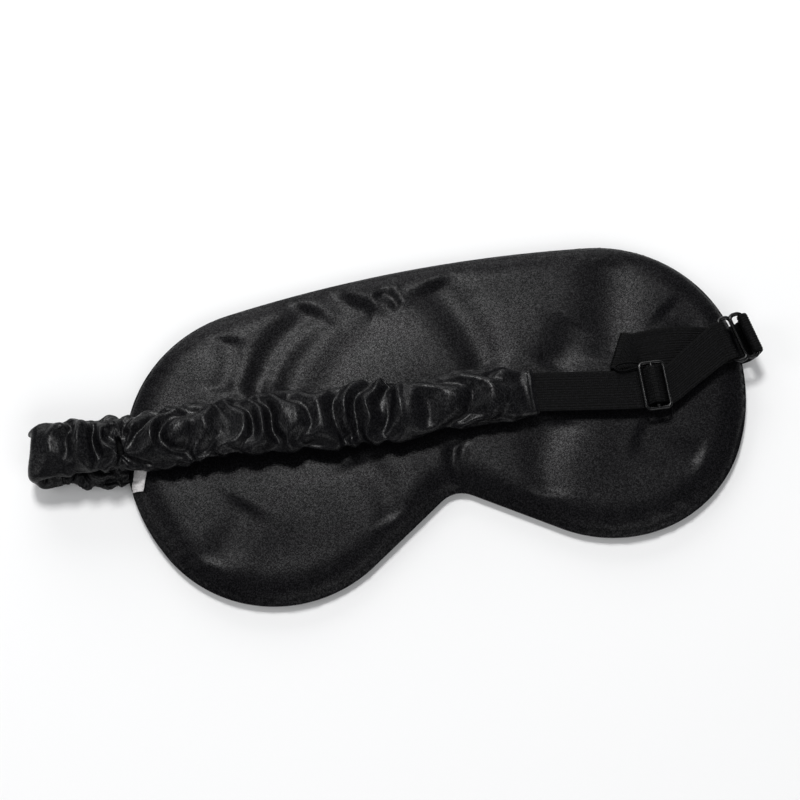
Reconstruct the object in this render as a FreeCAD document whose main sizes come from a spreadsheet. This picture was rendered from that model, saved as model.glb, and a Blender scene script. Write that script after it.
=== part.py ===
"""Sleep eye mask with an adjustable elastic strap, lying front down with its strap on its back.

Millimetres. The origin is the middle of the mask on the surface it lies on. +X points to the
adjuster end of the strap, +Y to the forehead edge, +Z up, away from the front panel.
"""
import FreeCAD, Part
import math
import os
import Sketcher
from FreeCAD import Placement, Rotation, Vector

DRIVING_SIZES = {
    # the mask's outline
    "mask_width": 214.0,
    "mask_height": 110.0,
    "crown_radius": 488.0,        # nearly straight forehead edge
    "shoulder_radius": 48.6,      # upper corners
    "lobe_radius": 46.8,          # under the eyes
    "lobe_inset": 49.8,           # lobe centre, in from the mask's side
    "nose_depth": 26.4,
    "nose_radius": 9.3,
    # the mask's layers
    "mask_thickness": 8.0,
    "rim_height": 3.5,            # top of the upright rim
    "puff_width": 14.0,           # width of the slope from the rim to the full thickness
    "panel_thickness": 0.8,
    "wadding_inset": 6.0,         # leaves room for the seam and the strap's ends
    "front_wadding_thickness": 2.5,
    "lining_thickness": 0.4,
    "ply_gap": 0.1,
    "wadding_gap": 0.2,
    "thread_inset": 1.2,
    "thread_inner_inset": 1.7,
    "thread_thickness": 0.5,
    # the strap
    "strap_gap": 0.3,             # between the mask and what lies on it
    "sleeve_width": 22.0,
    "sleeve_thickness": 7.0,
    "sleeve_wall": 0.8,
    "floor_gap": 0.2,
    "fold_gap": 0.3,              # least gap between the sleeve's two runs
    "fold_overhang": 25.4,        # fold's axis, out from the mask's side
    "elastic_width": 15.0,
    "tape_width": 14.0,
    "tape_thickness": 1.0,
    "anchor_height": 2.2,         # height at which the strap's ends enter the rim
    "anchor_reach": 4.0,          # how far they reach inside
    # slider and ring
    "wire_diameter": 1.4,
    "bar_gap": 0.3,               # wire to tape, across the tape
    "side_gap": 0.5,              # wire to the tape's edge
    "ring_pitch": 4.4,            # bar to bar
    "slider_pitch": 4.1,
    "slider_corner": 1.4,
    "ring_corner": 1.6,
    "bar_loop_wall": 0.6,         # the tail, where it is sewn round the slider's bar
    "bar_loop_gap": 0.05,
    # the blank care label
    "label_length": 12.0,
    "label_width": 5.0,
    "label_thickness": 0.3,
}

doc = FreeCAD.newDocument("sleep_mask")
sheet = doc.addObject("Spreadsheet::Sheet", "Sizes")
for row, (alias, value) in enumerate(DRIVING_SIZES.items(), start=1):
    sheet.set(f"A{row}", alias)
    sheet.set(f"B{row}", str(value))
    sheet.setAlias(f"B{row}", alias)
doc.recompute()


def size(alias):
    """The value of one driving size, in millimetres."""
    return float(getattr(sheet, alias))


# ---- places worked out from the driving sizes -------------------------------------------------

HALF_WIDTH = size("mask_width") / 2
HALF_HEIGHT = size("mask_height") / 2
TAPE = size("tape_thickness")
WIRE = size("wire_diameter") / 2
TAPE_TO_WIRE = TAPE / 2 + size("bar_gap") + WIRE
SEAT_Z = size("mask_thickness") + size("strap_gap")
RETURN_Z = SEAT_Z + TAPE / 2
RING_Z = RETURN_Z + TAPE_TO_WIRE
FEED_Z = RING_Z + TAPE_TO_WIRE
SLIDER_Z = FEED_Z + TAPE_TO_WIRE
SLEEVE_LOW_Z = size("floor_gap") + size("sleeve_thickness") / 2
SLEEVE_Z = max(SEAT_Z, size("floor_gap") + size("sleeve_thickness") + size("fold_gap")) \
    + size("sleeve_thickness") / 2
BAR_LOOP_RADIUS = WIRE + size("bar_loop_gap") + size("bar_loop_wall")
RUN_GAP = 0.3                     # between lengths of the strap that move apart

# plan points of the strap, counted from the side of the mask that each belongs to
FOLD = Vector(-HALF_WIDTH - size("fold_overhang"), 10.5, 0)
RING = Vector(HALF_WIDTH - 1.3, 4.1, 0)
SLIDER = RING + Vector(-33.2, -12.2, 0)
CUFF = SLIDER + Vector(-39.5, 6.1, 0)
TAIL_FOLD = RING + Vector(-42.7, 2.9, 0)
RING_YAW = 8.0
SLIDER_YAW = 4.0
TAIL_FOLD_YAW = -25.0             # its fold line leans towards the slider
LOWER_RUN_START = Vector(-HALF_WIDTH - RUN_GAP, 6.5, 0)


def yaw_between(start, end):
    """The direction from one plan point to another, in degrees from +X."""
    return math.degrees(math.atan2(end.y - start.y, end.x - start.x))


def along(point, yaw, distance):
    """The plan point at a distance from another, in the direction yaw."""
    angle = math.radians(yaw)
    return point + Vector(distance * math.cos(angle), distance * math.sin(angle), 0)


def turned(point, z, yaw):
    """A placement at a plan point and height, turned about +Z."""
    return Placement(Vector(point.x, point.y, z), Rotation(Vector(0, 0, 1), yaw))


SLEEVE_YAW = yaw_between(FOLD, CUFF)
LEAD_YAW = yaw_between(SLIDER, CUFF) + 180
LOWER_YAW = yaw_between(FOLD, LOWER_RUN_START)
RIGHT_RIM = along(RING, RING_YAW, HALF_WIDTH - RING.x)
HALF_SPAN = size("tape_width") / 2 + size("side_gap") + WIRE     # of the slider and the ring
SLIDER_STRAIGHT = 2 * (HALF_SPAN - size("slider_corner"))        # straight length of its bars
RING_STRAIGHT = 2 * (HALF_SPAN - size("ring_corner"))
CORNER_GAP = 0.4
RING_BAR = along(RING, RING_YAW, -size("ring_pitch"))
TAB_BAR = along(RING, RING_YAW, size("ring_pitch"))

SLOPE_FLIPPED = False             # the chamfer's second distance runs in along the top

nodes = []


def finish_node(obj, label):
    """Name a finished sub-part, and list it for export."""
    obj.Label = label
    nodes.append(obj)
    return obj


# ---- helpers for bodies and sketches ----------------------------------------------------------

def new_body(name):
    return doc.addObject("PartDesign::Body", name + "_body")


def plane(body, role):
    """One of a body's own origin planes or axes."""
    return next(f for f in body.Origin.OriginFeatures if f.Role == role)


def new_sketch(body, name, role, offset=None):
    """A sketch on an origin plane. offset gives expressions for its attachment offset."""
    sketch = body.newObject("Sketcher::SketchObject", name)
    sketch.AttachmentSupport = [(plane(body, role), "")]
    sketch.MapMode = "FlatFace"
    for axis, expression in (offset or {}).items():
        sketch.setExpression(f"AttachmentOffset.Base.{axis}", expression)
    return sketch


def constrain(sketch, kind, *geometry, value=None, expression=None):
    """Add a constraint, bound to an expression where one is given."""
    arguments = list(geometry) + ([value] if value is not None else [])
    index = sketch.addConstraint(Sketcher.Constraint(kind, *arguments))
    if expression:
        sketch.setExpression(f"Constraints[{index}]", expression)


def arc(centre, radius, start, end):
    """Anticlockwise arc about centre, between two angles in degrees."""
    circle = Part.Circle(centre, Vector(0, 0, 1), radius)
    return Part.ArcOfCircle(circle, math.radians(start), math.radians(end))


def direction(start, end):
    return math.degrees(math.atan2(end.y - start.y, end.x - start.x))


def half_outline(sketch, inset_name=None):
    """Right half of the mask's outline, moved inwards by the size called inset_name.

    From the crown's middle: crown, shoulder, side, lobe, straight flank, nose and the mirror
    line. Each arc is tangent to the next. The centres don't move with the inset.
    """
    inset = size(inset_name) if inset_name else 0.0
    minus = f" - Sizes.{inset_name}" if inset_name else ""
    plus = f" + Sizes.{inset_name}" if inset_name else ""
    crown_r, shoulder_r = size("crown_radius"), size("shoulder_radius")
    lobe_r, nose_r = size("lobe_radius"), size("nose_radius")
    crown = Vector(0, HALF_HEIGHT - crown_r, 0)
    shoulder_x = HALF_WIDTH - shoulder_r
    shoulder_y = crown.y + math.sqrt((crown_r - shoulder_r) ** 2 - shoulder_x ** 2)
    shoulder = Vector(shoulder_x, shoulder_y, 0)
    lobe = Vector(HALF_WIDTH - size("lobe_inset"), lobe_r - HALF_HEIGHT, 0)
    rise = shoulder.y - lobe.y
    span = size("lobe_inset")
    side_r = (lobe_r ** 2 - span ** 2 - rise ** 2) / (2 * (lobe_r - span))
    side = Vector(HALF_WIDTH - side_r, shoulder.y, 0)
    nose = Vector(0, size("nose_depth") - HALF_HEIGHT - nose_r, 0)
    reach = (lobe - nose).Length
    flank_normal = direction(nose, lobe) + math.degrees(math.acos((nose_r + lobe_r) / reach))
    crown_end = direction(crown, shoulder)
    side_end = direction(side, lobe)
    normal = Vector(math.cos(math.radians(flank_normal)), math.sin(math.radians(flank_normal)), 0)
    crown_arc, shoulder_arc, side_arc, lobe_arc, flank, nose_arc, mirror_line = range(7)
    sketch.addGeometry([
        arc(crown, crown_r - inset, crown_end, 90),
        arc(shoulder, shoulder_r - inset, 0, crown_end),
        arc(side, side_r - inset, side_end, 0),
        arc(lobe, lobe_r - inset, flank_normal - 180, side_end),
        Part.LineSegment(lobe - normal * (lobe_r - inset), nose + normal * (nose_r + inset)),
        arc(nose, nose_r + inset, flank_normal, 90),
        Part.LineSegment(Vector(0, nose.y + nose_r + inset, 0), Vector(0, HALF_HEIGHT - inset, 0)),
    ], False)
    start, end, centre, y_axis = 1, 2, 3, -2
    for first, first_end, second, second_end in (
            (crown_arc, start, shoulder_arc, end), (shoulder_arc, start, side_arc, end),
            (side_arc, start, lobe_arc, end), (lobe_arc, start, flank, start),
            (flank, end, nose_arc, start)):
        constrain(sketch, "Tangent", first, first_end, second, second_end)
    constrain(sketch, "Coincident", nose_arc, end, mirror_line, start)
    constrain(sketch, "Coincident", crown_arc, end, mirror_line, end)
    for on_axis in (crown_arc, nose_arc):
        constrain(sketch, "PointOnObject", on_axis, centre, y_axis)
        constrain(sketch, "PointOnObject", on_axis, end, y_axis)
    constrain(sketch, "Horizontal", shoulder_arc, centre, side_arc, centre)
    for edge, radius, expression in (
            (crown_arc, crown_r - inset, "Sizes.crown_radius" + minus),
            (shoulder_arc, shoulder_r - inset, "Sizes.shoulder_radius" + minus),
            (lobe_arc, lobe_r - inset, "Sizes.lobe_radius" + minus),
            (nose_arc, nose_r + inset, "Sizes.nose_radius" + plus)):
        constrain(sketch, "Radius", edge, value=radius, expression=expression)
    constrain(sketch, "DistanceY", -1, 1, crown_arc, centre, value=crown.y,
              expression="Sizes.mask_height / 2 - Sizes.crown_radius")
    constrain(sketch, "DistanceY", -1, 1, nose_arc, centre, value=nose.y,
              expression="Sizes.nose_depth - Sizes.mask_height / 2 - Sizes.nose_radius")
    constrain(sketch, "DistanceX", -1, 1, shoulder_arc, centre, value=shoulder.x,
              expression="Sizes.mask_width / 2 - Sizes.shoulder_radius")
    constrain(sketch, "DistanceX", -1, 1, lobe_arc, centre, value=lobe.x,
              expression="Sizes.mask_width / 2 - Sizes.lobe_inset")
    constrain(sketch, "DistanceY", -1, 1, lobe_arc, centre, value=lobe.y,
              expression="Sizes.lobe_radius - Sizes.mask_height / 2")


def stadium(sketch, width, height, width_expression, height_expression):
    """A slot shape centred on the sketch's origin, its long way along the sketch's X."""
    reach = (width - height) / 2
    radius = height / 2
    right, left = Vector(reach, 0, 0), Vector(-reach, 0, 0)
    up = Vector(0, radius, 0)
    first = sketch.GeometryCount
    sketch.addGeometry([
        arc(right, radius, -90, 90),
        Part.LineSegment(right + up, left + up),
        arc(left, radius, 90, 270),
        Part.LineSegment(left - up, right - up),
    ], False)
    right_arc, top, left_arc, bottom = range(first, first + 4)
    constrain(sketch, "Tangent", right_arc, 2, top, 1)
    constrain(sketch, "Tangent", top, 2, left_arc, 1)
    constrain(sketch, "Tangent", left_arc, 2, bottom, 1)
    constrain(sketch, "Tangent", bottom, 2, right_arc, 1)
    constrain(sketch, "Horizontal", top)
    constrain(sketch, "Symmetric", right_arc, 3, left_arc, 3, -1, 1)
    constrain(sketch, "Radius", right_arc, value=radius, expression=f"({height_expression}) / 2")
    constrain(sketch, "DistanceX", left_arc, 3, right_arc, 3, value=2 * reach,
              expression=f"({width_expression}) - ({height_expression})")


def pad(body, name, sketch, length_expression):
    feature = body.newObject("PartDesign::Pad", name)
    feature.Profile = sketch
    feature.setExpression("Length", length_expression)
    return feature


def mask_layer(name, bottom, height, inset_name=None, slope=None):
    """One layer of the mask: the outline padded up from bottom, then mirrored.

    slope is the pair of expressions for the chamfer's drop and its width on the upper edge.
    """
    body = new_body(name)
    sketch = new_sketch(body, name + "_outline", "XY_Plane", {"z": bottom})
    half_outline(sketch, inset_name)
    half = pad(body, name + "_half", sketch, height)
    mirrored = body.newObject("PartDesign::Mirrored", name + "_mirrored")
    mirrored.Originals = [half]
    mirrored.MirrorPlane = (plane(body, "YZ_Plane"), [""])
    body.Tip = mirrored
    doc.recompute()
    if slope:
        top = mirrored.Shape.BoundBox.ZMax
        edges = [f"Edge{number}" for number, edge in enumerate(mirrored.Shape.Edges, start=1)
                 if min(vertex.Z for vertex in edge.Vertexes) > top - 1e-6]
        chamfer = body.newObject("PartDesign::Chamfer", name + "_slope")
        chamfer.Base = (mirrored, edges)
        chamfer.ChamferType = "Two distances"
        chamfer.FlipDirection = SLOPE_FLIPPED
        chamfer.setExpression("Size", slope[0])
        chamfer.setExpression("Size2", slope[1])
        body.Tip = chamfer
        doc.recompute()
    return body


def tube_length(name, length_expression):
    """A length of the sleeve: a hollow stadium section padded along +X from the origin."""
    body = new_body(name)
    section = new_sketch(body, name + "_section", "YZ_Plane")
    sleeve_section(section)
    pad(body, name + "_pad", section, length_expression)
    return body


def sleeve_section(sketch):
    """The sleeve's section: a stadium with a smaller one inside it."""
    width, thickness, wall = size("sleeve_width"), size("sleeve_thickness"), size("sleeve_wall")
    stadium(sketch, width, thickness, "Sizes.sleeve_width", "Sizes.sleeve_thickness")
    stadium(sketch, width - 2 * wall, thickness - 2 * wall,
            "Sizes.sleeve_width - 2 * Sizes.sleeve_wall",
            "Sizes.sleeve_thickness - 2 * Sizes.sleeve_wall")


# ---- helpers for flat tapes -------------------------------------------------------------------

def tape_line(point, yaw, width=None):
    """The two ends of a line across a tape, at a plan point of a tape that runs along yaw."""
    half = (width or size("tape_width")) / 2
    return along(point, yaw + 90, half), along(point, yaw + 90, -half)


def plate(first_line, second_line, z, thickness=TAPE):
    """A flat run of tape between two lines across it, centred on height z."""
    corners = [first_line[0], second_line[0], second_line[1], first_line[1], first_line[0]]
    raised = [Vector(corner.x, corner.y, z - thickness / 2) for corner in corners]
    return Part.Face(Part.makePolygon(raised)).extrude(Vector(0, 0, thickness))


def bent_tape(profile, width, thickness=TAPE):
    """A tape bent along a side view. profile is a list of (along, up) points of its middle."""
    wire = Part.makePolygon([Vector(u, -width / 2, z) for u, z in profile])
    face = Part.Face(wire.makeOffset2D(thickness / 2, 0, False, False))
    return face.extrude(Vector(0, width, 0))


def loop_round_bar(inner_radius, outer_radius, width, start=0.0, sweep=360.0):
    """A tape's loop round a bar along Y at the origin, from the angle start in the XZ plane."""
    across = Vector(0, 1, 0)
    base = Vector(0, -width / 2, 0)
    outer = Part.makeCylinder(outer_radius, width, base, across, sweep)
    inner = Part.makeCylinder(inner_radius, width, base, across, sweep)
    loop = outer.cut(inner)
    loop.rotate(Vector(0, 0, 0), across, start)
    return loop


def placed(shape, point, z, yaw):
    """A copy of a shape, turned about +Z and moved to a plan point and height."""
    return shape.transformed(turned(point, z, yaw).toMatrix(), True)


def shape_node(label, shapes, placement=None):
    """A node whose solid is one shape, or several joined."""
    solid = shapes[0]
    if len(shapes) > 1:
        solid = solid.fuse(shapes[1:]).removeSplitter()
    feature = doc.addObject("Part::Feature", label + "_solid")
    feature.Shape = solid.Solids[0] if len(solid.Solids) == 1 else solid
    if placement:
        feature.Placement = placement
    return finish_node(feature, label)


def box_node(label, length, width, height, placement):
    """A Part::Box centred in plan on its placement. Each size is a number or an expression."""
    box = doc.addObject("Part::Box", label + "_box")
    for name, value in (("Length", length), ("Width", width), ("Height", height)):
        if isinstance(value, str):
            box.setExpression(name, value)
        else:
            setattr(box, name, value)
    doc.recompute()
    shift = Vector(-float(box.Length) / 2, -float(box.Width) / 2, 0)
    box.Placement = placement.multiply(Placement(shift, Rotation()))
    return finish_node(box, label)


# ---- the mask ---------------------------------------------------------------------------------

def build_mask():
    """Front panel, two waddings with the light-block lining between them, and back panel."""
    slope = ("Sizes.mask_thickness - Sizes.rim_height", "Sizes.puff_width")
    finish_node(mask_layer("front_panel", "0", "Sizes.panel_thickness"), "front_panel")

    front_bottom = "Sizes.panel_thickness + Sizes.ply_gap"
    lining_bottom = front_bottom + " + Sizes.front_wadding_thickness + Sizes.ply_gap"
    back_bottom = lining_bottom + " + Sizes.lining_thickness + Sizes.ply_gap"
    finish_node(mask_layer("front_wadding", front_bottom, "Sizes.front_wadding_thickness",
                           "wadding_inset"), "front_wadding")
    finish_node(mask_layer("light_block_lining", lining_bottom, "Sizes.lining_thickness",
                           "wadding_inset"), "light_block_lining")
    wadding_top = "Sizes.mask_thickness - Sizes.panel_thickness - Sizes.wadding_gap"
    rise = f"({wadding_top} - ({back_bottom}) - Sizes.ply_gap)"
    run = f"{rise} * Sizes.puff_width / (Sizes.mask_thickness - Sizes.rim_height)"
    finish_node(mask_layer("back_wadding", back_bottom, f"{wadding_top} - ({back_bottom})",
                           "wadding_inset", (rise, run)), "back_wadding")

    envelope = mask_layer("back_outer", "Sizes.panel_thickness",
                          "Sizes.mask_thickness - Sizes.panel_thickness", None, slope)
    cavity = mask_layer("back_cavity", "Sizes.panel_thickness",
                        "Sizes.mask_thickness - 2 * Sizes.panel_thickness", "panel_thickness",
                        slope)
    shell = doc.addObject("Part::Cut", "back_shell")
    shell.Base = envelope
    shell.Tool = cavity
    slots = doc.addObject("Part::MultiFuse", "strap_slots")
    slots.Shapes = [strap_slot("left_slot", LOWER_RUN_START, LOWER_YAW, "Sizes.elastic_width"),
                    strap_slot("right_slot", RIGHT_RIM, RING_YAW, "Sizes.tape_width")]
    slotted = doc.addObject("Part::Cut", "back_slotted")
    slotted.Base = shell
    slotted.Tool = slots
    finish_node(slotted, "back_panel")

    outer = mask_layer("thread_outer", "Sizes.panel_thickness", "Sizes.thread_thickness",
                       "thread_inset")
    inner = mask_layer("thread_inner", "Sizes.panel_thickness", "Sizes.thread_thickness",
                       "thread_inner_inset")
    thread = doc.addObject("Part::Cut", "rim_thread")
    thread.Base = outer
    thread.Tool = inner
    finish_node(thread, "rim_stitching")


def strap_slot(name, point, yaw, width_expression):
    """The space that a strap's end takes up where it passes through the back panel's rim."""
    slot = doc.addObject("Part::Box", name)
    slot.setExpression("Length", "2 * Sizes.anchor_reach")
    slot.setExpression("Width", width_expression + " + 2 * Sizes.ply_gap")
    slot.setExpression("Height", "Sizes.tape_thickness + 2 * Sizes.ply_gap")
    doc.recompute()
    middle = Vector(-float(slot.Length) / 2, -float(slot.Width) / 2, -float(slot.Height) / 2)
    slot.Placement = turned(point, size("anchor_height"), yaw).multiply(
        Placement(middle, Rotation()))
    return slot


def build_label():
    """The blank label, sewn in at the left edge, lying on the slope below the strap."""
    slope_angle = math.degrees(math.atan2(size("mask_thickness") - size("rim_height"),
                                          size("puff_width")))
    edge = Vector(-HALF_WIDTH + 0.9, -4.0, size("rim_height") + size("strap_gap") + 0.2)
    tilt = Placement(edge, Rotation(Vector(0, 1, 0), -slope_angle))
    shift = Placement(Vector(size("label_width") / 2, 0, 0), Rotation())
    box_node("care_label", "Sizes.label_width", "Sizes.label_length", "Sizes.label_thickness",
             tilt.multiply(shift))


# ---- the left half of the strap: elastic in a ruched sleeve -------------------------------------

def build_sleeve():
    """Lower run, fold and upper run of the ruched tube."""
    skew = math.radians(SLEEVE_YAW - LOWER_YAW)
    clear = RUN_GAP / 2 + size("sleeve_width") / 2 * math.tan(abs(skew))
    rim_clear = size("sleeve_width") / 2 * math.sin(math.radians(abs(LOWER_YAW)))
    lower_length = (LOWER_RUN_START - FOLD).Length - clear - rim_clear
    lower = tube_length("sleeve_lower", f"{lower_length}")
    lower.Placement = turned(along(FOLD, LOWER_YAW, clear), SLEEVE_LOW_Z, LOWER_YAW)
    finish_node(lower, "sleeve_lower_run")

    fold = new_body("sleeve_fold")
    radius = (SLEEVE_Z - SLEEVE_LOW_Z) / 2
    section = new_sketch(fold, "fold_section", "YZ_Plane", {"y": f"-({radius})"})
    sleeve_section(section)
    turn = fold.newObject("PartDesign::Revolution", "fold_turn")
    turn.Profile = section
    turn.ReferenceAxis = (plane(fold, "Y_Axis"), [""])
    turn.Angle = 180
    fold.Placement = turned(FOLD, (SLEEVE_Z + SLEEVE_LOW_Z) / 2, SLEEVE_YAW)
    finish_node(fold, "sleeve_fold")

    upper_length = (CUFF - FOLD).Length - RUN_GAP
    upper = tube_length("sleeve_upper", f"{upper_length}")
    upper.Placement = turned(along(FOLD, SLEEVE_YAW, RUN_GAP), SLEEVE_Z, SLEEVE_YAW)
    finish_node(upper, "sleeve_upper_run")


def half_circle(centre_u, centre_z, radius, steps=8):
    """Points of a half circle, from its lowest point round its -u side to its highest."""
    return [(centre_u - radius * math.sin(math.pi * step / steps),
             centre_z - radius * math.cos(math.pi * step / steps)) for step in range(steps + 1)]


def build_elastic():
    """The flat elastic inside the sleeve, its end in the rim, and the splice to the webbing."""
    width = size("elastic_width")
    out = (LOWER_RUN_START - FOLD).Length
    ramp = 5.0
    radius = (FEED_Z - SLEEVE_LOW_Z) / 2
    path = [(out + size("anchor_reach"), size("anchor_height")),
            (out - ramp / 2, size("anchor_height")),
            (out - 2 * ramp, SLEEVE_LOW_Z)] + half_circle(0, SLEEVE_LOW_Z + radius, radius)
    lower = bent_tape(path, width)
    shape_node("elastic_lower", [lower], turned(FOLD, 0, LOWER_YAW))

    end_lap = 10.0
    start = along(FOLD, SLEEVE_YAW, 2 * RUN_GAP + TAPE)
    end = along(CUFF, SLEEVE_YAW, -end_lap)
    line = tape_line(start, SLEEVE_YAW, width), tape_line(end, SLEEVE_YAW, width)
    shape_node("elastic_upper", [plate(*line, FEED_Z)])
    box_node("splice_tack", 4.0, "Sizes.tape_width - 2", 0.4,
             turned(end, FEED_Z + TAPE / 2, SLEEVE_YAW))
    top = SLEEVE_Z + size("sleeve_thickness") / 2
    box_node("cuff_stitching", 0.8, "Sizes.sleeve_width - Sizes.sleeve_thickness", 0.3,
             turned(along(CUFF, SLEEVE_YAW, -2.5), top, SLEEVE_YAW))


# ---- the right half of the strap: webbing, slider and ring --------------------------------------

def build_webbing():
    """The webbing's feed, its return under the feed, and its tail round the slider's bar."""
    width = size("tape_width")
    bunched = min(width, SLIDER_STRAIGHT - CORNER_GAP)
    looped = min(width, RING_STRAIGHT - CORNER_GAP)
    pitch = size("slider_pitch")
    hump_half = pitch + 1.5
    hump_top = TAPE_TO_WIRE + BAR_LOOP_RADIUS + 0.15 + TAPE / 2
    foot, crest = pitch - 0.5, 0.9
    hump = bent_tape([(-hump_half, 0), (-foot, 0), (-crest, hump_top), (crest, hump_top),
                      (foot, 0), (hump_half, 0)], bunched)
    cuff_line = tape_line(along(CUFF, SLEEVE_YAW, -9.5), SLEEVE_YAW)
    lead_line = tape_line(CUFF, LEAD_YAW)
    slider_in = tape_line(along(SLIDER, SLIDER_YAW, -hump_half), SLIDER_YAW)
    slider_out = tape_line(along(SLIDER, SLIDER_YAW, hump_half), SLIDER_YAW)
    ring_line = tape_line(RING_BAR, RING_YAW)
    turn = loop_round_bar(TAPE_TO_WIRE - TAPE / 2, TAPE_TO_WIRE + TAPE / 2, looped, 0, 180)
    shape_node("webbing_feed", [
        plate(cuff_line, lead_line, FEED_Z), plate(lead_line, slider_in, FEED_Z),
        placed(hump, SLIDER, FEED_Z, SLIDER_YAW), plate(slider_out, ring_line, FEED_Z),
        placed(turn, RING_BAR, RING_Z, RING_YAW)])

    fold_clearance = TAPE
    fold_line = tape_line(TAIL_FOLD, TAIL_FOLD_YAW)
    return_end = tape_line(along(TAIL_FOLD, TAIL_FOLD_YAW, fold_clearance), TAIL_FOLD_YAW)
    shape_node("webbing_return", [plate(return_end, ring_line, RETURN_Z)])

    tail_z = RETURN_Z + TAPE_TO_WIRE
    fold_radius = (tail_z - RETURN_Z) / 2
    fold = loop_round_bar(fold_radius - TAPE / 2, fold_radius + TAPE / 2, width, 180, 180)
    centre_line = tape_line(along(SLIDER, SLIDER_YAW, TAPE / 2), SLIDER_YAW)
    web = Part.makeBox(TAPE, bunched, SLIDER_Z - tail_z - BAR_LOOP_RADIUS + TAPE / 4,
                       Vector(-TAPE / 2, -bunched / 2, 0))
    bar_loop = loop_round_bar(WIRE + size("bar_loop_gap"), BAR_LOOP_RADIUS, bunched)
    shape_node("webbing_tail", [
        plate(fold_line, centre_line, tail_z), placed(web, SLIDER, tail_z, SLIDER_YAW),
        placed(bar_loop, SLIDER, SLIDER_Z, SLIDER_YAW),
        placed(fold, TAIL_FOLD, (tail_z + RETURN_Z) / 2, TAIL_FOLD_YAW)])
    box_node("tail_tack", 1.0, "Sizes.tape_width - 4", 0.2,
             turned(along(SLIDER, SLIDER_YAW, -2.0), tail_z + TAPE / 2, SLIDER_YAW))


def build_anchor_tab():
    """The doubled tab from the mask's right rim up and round the ring's outer bar."""
    width = min(size("tape_width"), RING_STRAIGHT - CORNER_GAP)
    loop = loop_round_bar(TAPE_TO_WIRE - TAPE / 2, TAPE_TO_WIRE + TAPE / 2, width)
    rim = -size("ring_pitch") + (HALF_WIDTH - RING.x)
    bend = rim + 1.5
    low = size("anchor_height") - RING_Z
    stem = bent_tape([(rim - size("anchor_reach"), low), (bend, low), (0, -TAPE_TO_WIRE)], width)
    shape_node("anchor_tab", [loop, stem], turned(TAB_BAR, RING_Z, RING_YAW))


def build_rim_tacks():
    """Thread that holds each end of the strap, on top of it, just inside the rim."""
    above = size("anchor_height") + TAPE / 2
    inside = size("anchor_reach") - 0.5
    left = along(LOWER_RUN_START, LOWER_YAW, inside)
    right = along(RIGHT_RIM, RING_YAW, -inside)
    box_node("left_rim_tack", 1.0, "Sizes.elastic_width - 4", 0.2, turned(left, above, LOWER_YAW))
    box_node("right_rim_tack", 1.0, "Sizes.tape_width - 4", 0.2, turned(right, above, RING_YAW))


def wire_section(body, name, offset_expression):
    """The wire's round section, on the XZ plane, moved out along X."""
    sketch = new_sketch(body, name, "XZ_Plane", {"x": offset_expression})
    sketch.addGeometry([Part.Circle(Vector(0, 0, 0), Vector(0, 0, 1), WIRE)], False)
    constrain(sketch, "Coincident", 0, 3, -1, 1)
    constrain(sketch, "Radius", 0, value=WIRE, expression="Sizes.wire_diameter / 2")
    return sketch


def wire_loop(body, name, centre_x, half_x, half_y, corner):
    """A closed wire loop in the XY plane with rounded corners, as an AdditivePipe."""
    path = body.newObject("Sketcher::SketchObject", name + "_path")
    path.AttachmentSupport = [(plane(body, "XY_Plane"), "")]
    path.MapMode = "FlatFace"
    dx, dy = half_x - corner, half_y - corner
    corners = [(dx, dy, 0), (-dx, dy, 90), (-dx, -dy, 180), (dx, -dy, 270)]
    geometry = [arc(Vector(centre_x + x, y, 0), corner, turn, turn + 90) for x, y, turn in corners]
    sides = [(Vector(centre_x + half_x, -dy, 0), Vector(centre_x + half_x, dy, 0)),
             (Vector(centre_x - half_x, dy, 0), Vector(centre_x - half_x, -dy, 0))]
    if dx > 1e-6:
        sides += [(Vector(centre_x + dx, half_y, 0), Vector(centre_x - dx, half_y, 0)),
                  (Vector(centre_x - dx, -half_y, 0), Vector(centre_x + dx, -half_y, 0))]
    geometry += [Part.LineSegment(start, end) for start, end in sides]
    path.addGeometry(geometry, False)
    doc.recompute()
    section = wire_section(body, name + "_section", f"{centre_x + half_x}")
    pipe = body.newObject("PartDesign::AdditivePipe", name + "_wire")
    pipe.Profile = section
    pipe.Spine = (path, [f"Edge{number + 1}" for number in range(len(geometry))])
    body.Tip = pipe
    doc.recompute()


def cross_bar(body, name):
    """The straight centre bar between the long ends of a wire frame."""
    section = wire_section(body, name + "_section", "0")
    bar = pad(body, name, section, "Sizes.tape_width + 2 * Sizes.side_gap + Sizes.wire_diameter")
    bar.SideType = "Symmetric"
    body.Tip = bar
    doc.recompute()


def build_slider_and_ring():
    """The tri-glide slider, a rounded frame with a centre bar, and the figure-of-eight ring."""
    slider = new_body("slider")
    wire_loop(slider, "frame", 0.0, size("slider_pitch"), HALF_SPAN, size("slider_corner"))
    cross_bar(slider, "centre_bar")
    slider.Placement = turned(SLIDER, SLIDER_Z, SLIDER_YAW)
    finish_node(slider, "slider")

    ring = new_body("ring")
    half_pitch = size("ring_pitch") / 2
    for name, side in (("inner_eye", -1), ("outer_eye", 1)):
        wire_loop(ring, name, side * half_pitch, half_pitch, HALF_SPAN, size("ring_corner"))
    ring.Placement = turned(RING, RING_Z, RING_YAW)
    finish_node(ring, "ring")


def check_document():
    """Stop if any object failed, or a sub-part's shape is empty, broken or in pieces."""
    doc.recompute()
    failed = [obj.Name for obj in doc.Objects if {"Invalid", "Error"} & set(obj.State)]
    if failed:
        raise RuntimeError(f"objects that failed: {failed}")
    for obj in nodes:
        shape = obj.Shape
        if shape.isNull() or not shape.isValid() or shape.Volume <= 0:
            raise RuntimeError(f"{obj.Label}: the shape is empty or not valid")
        if len(shape.Solids) != 1:
            raise RuntimeError(f"{obj.Label}: {len(shape.Solids)} solids where one was meant")


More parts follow.
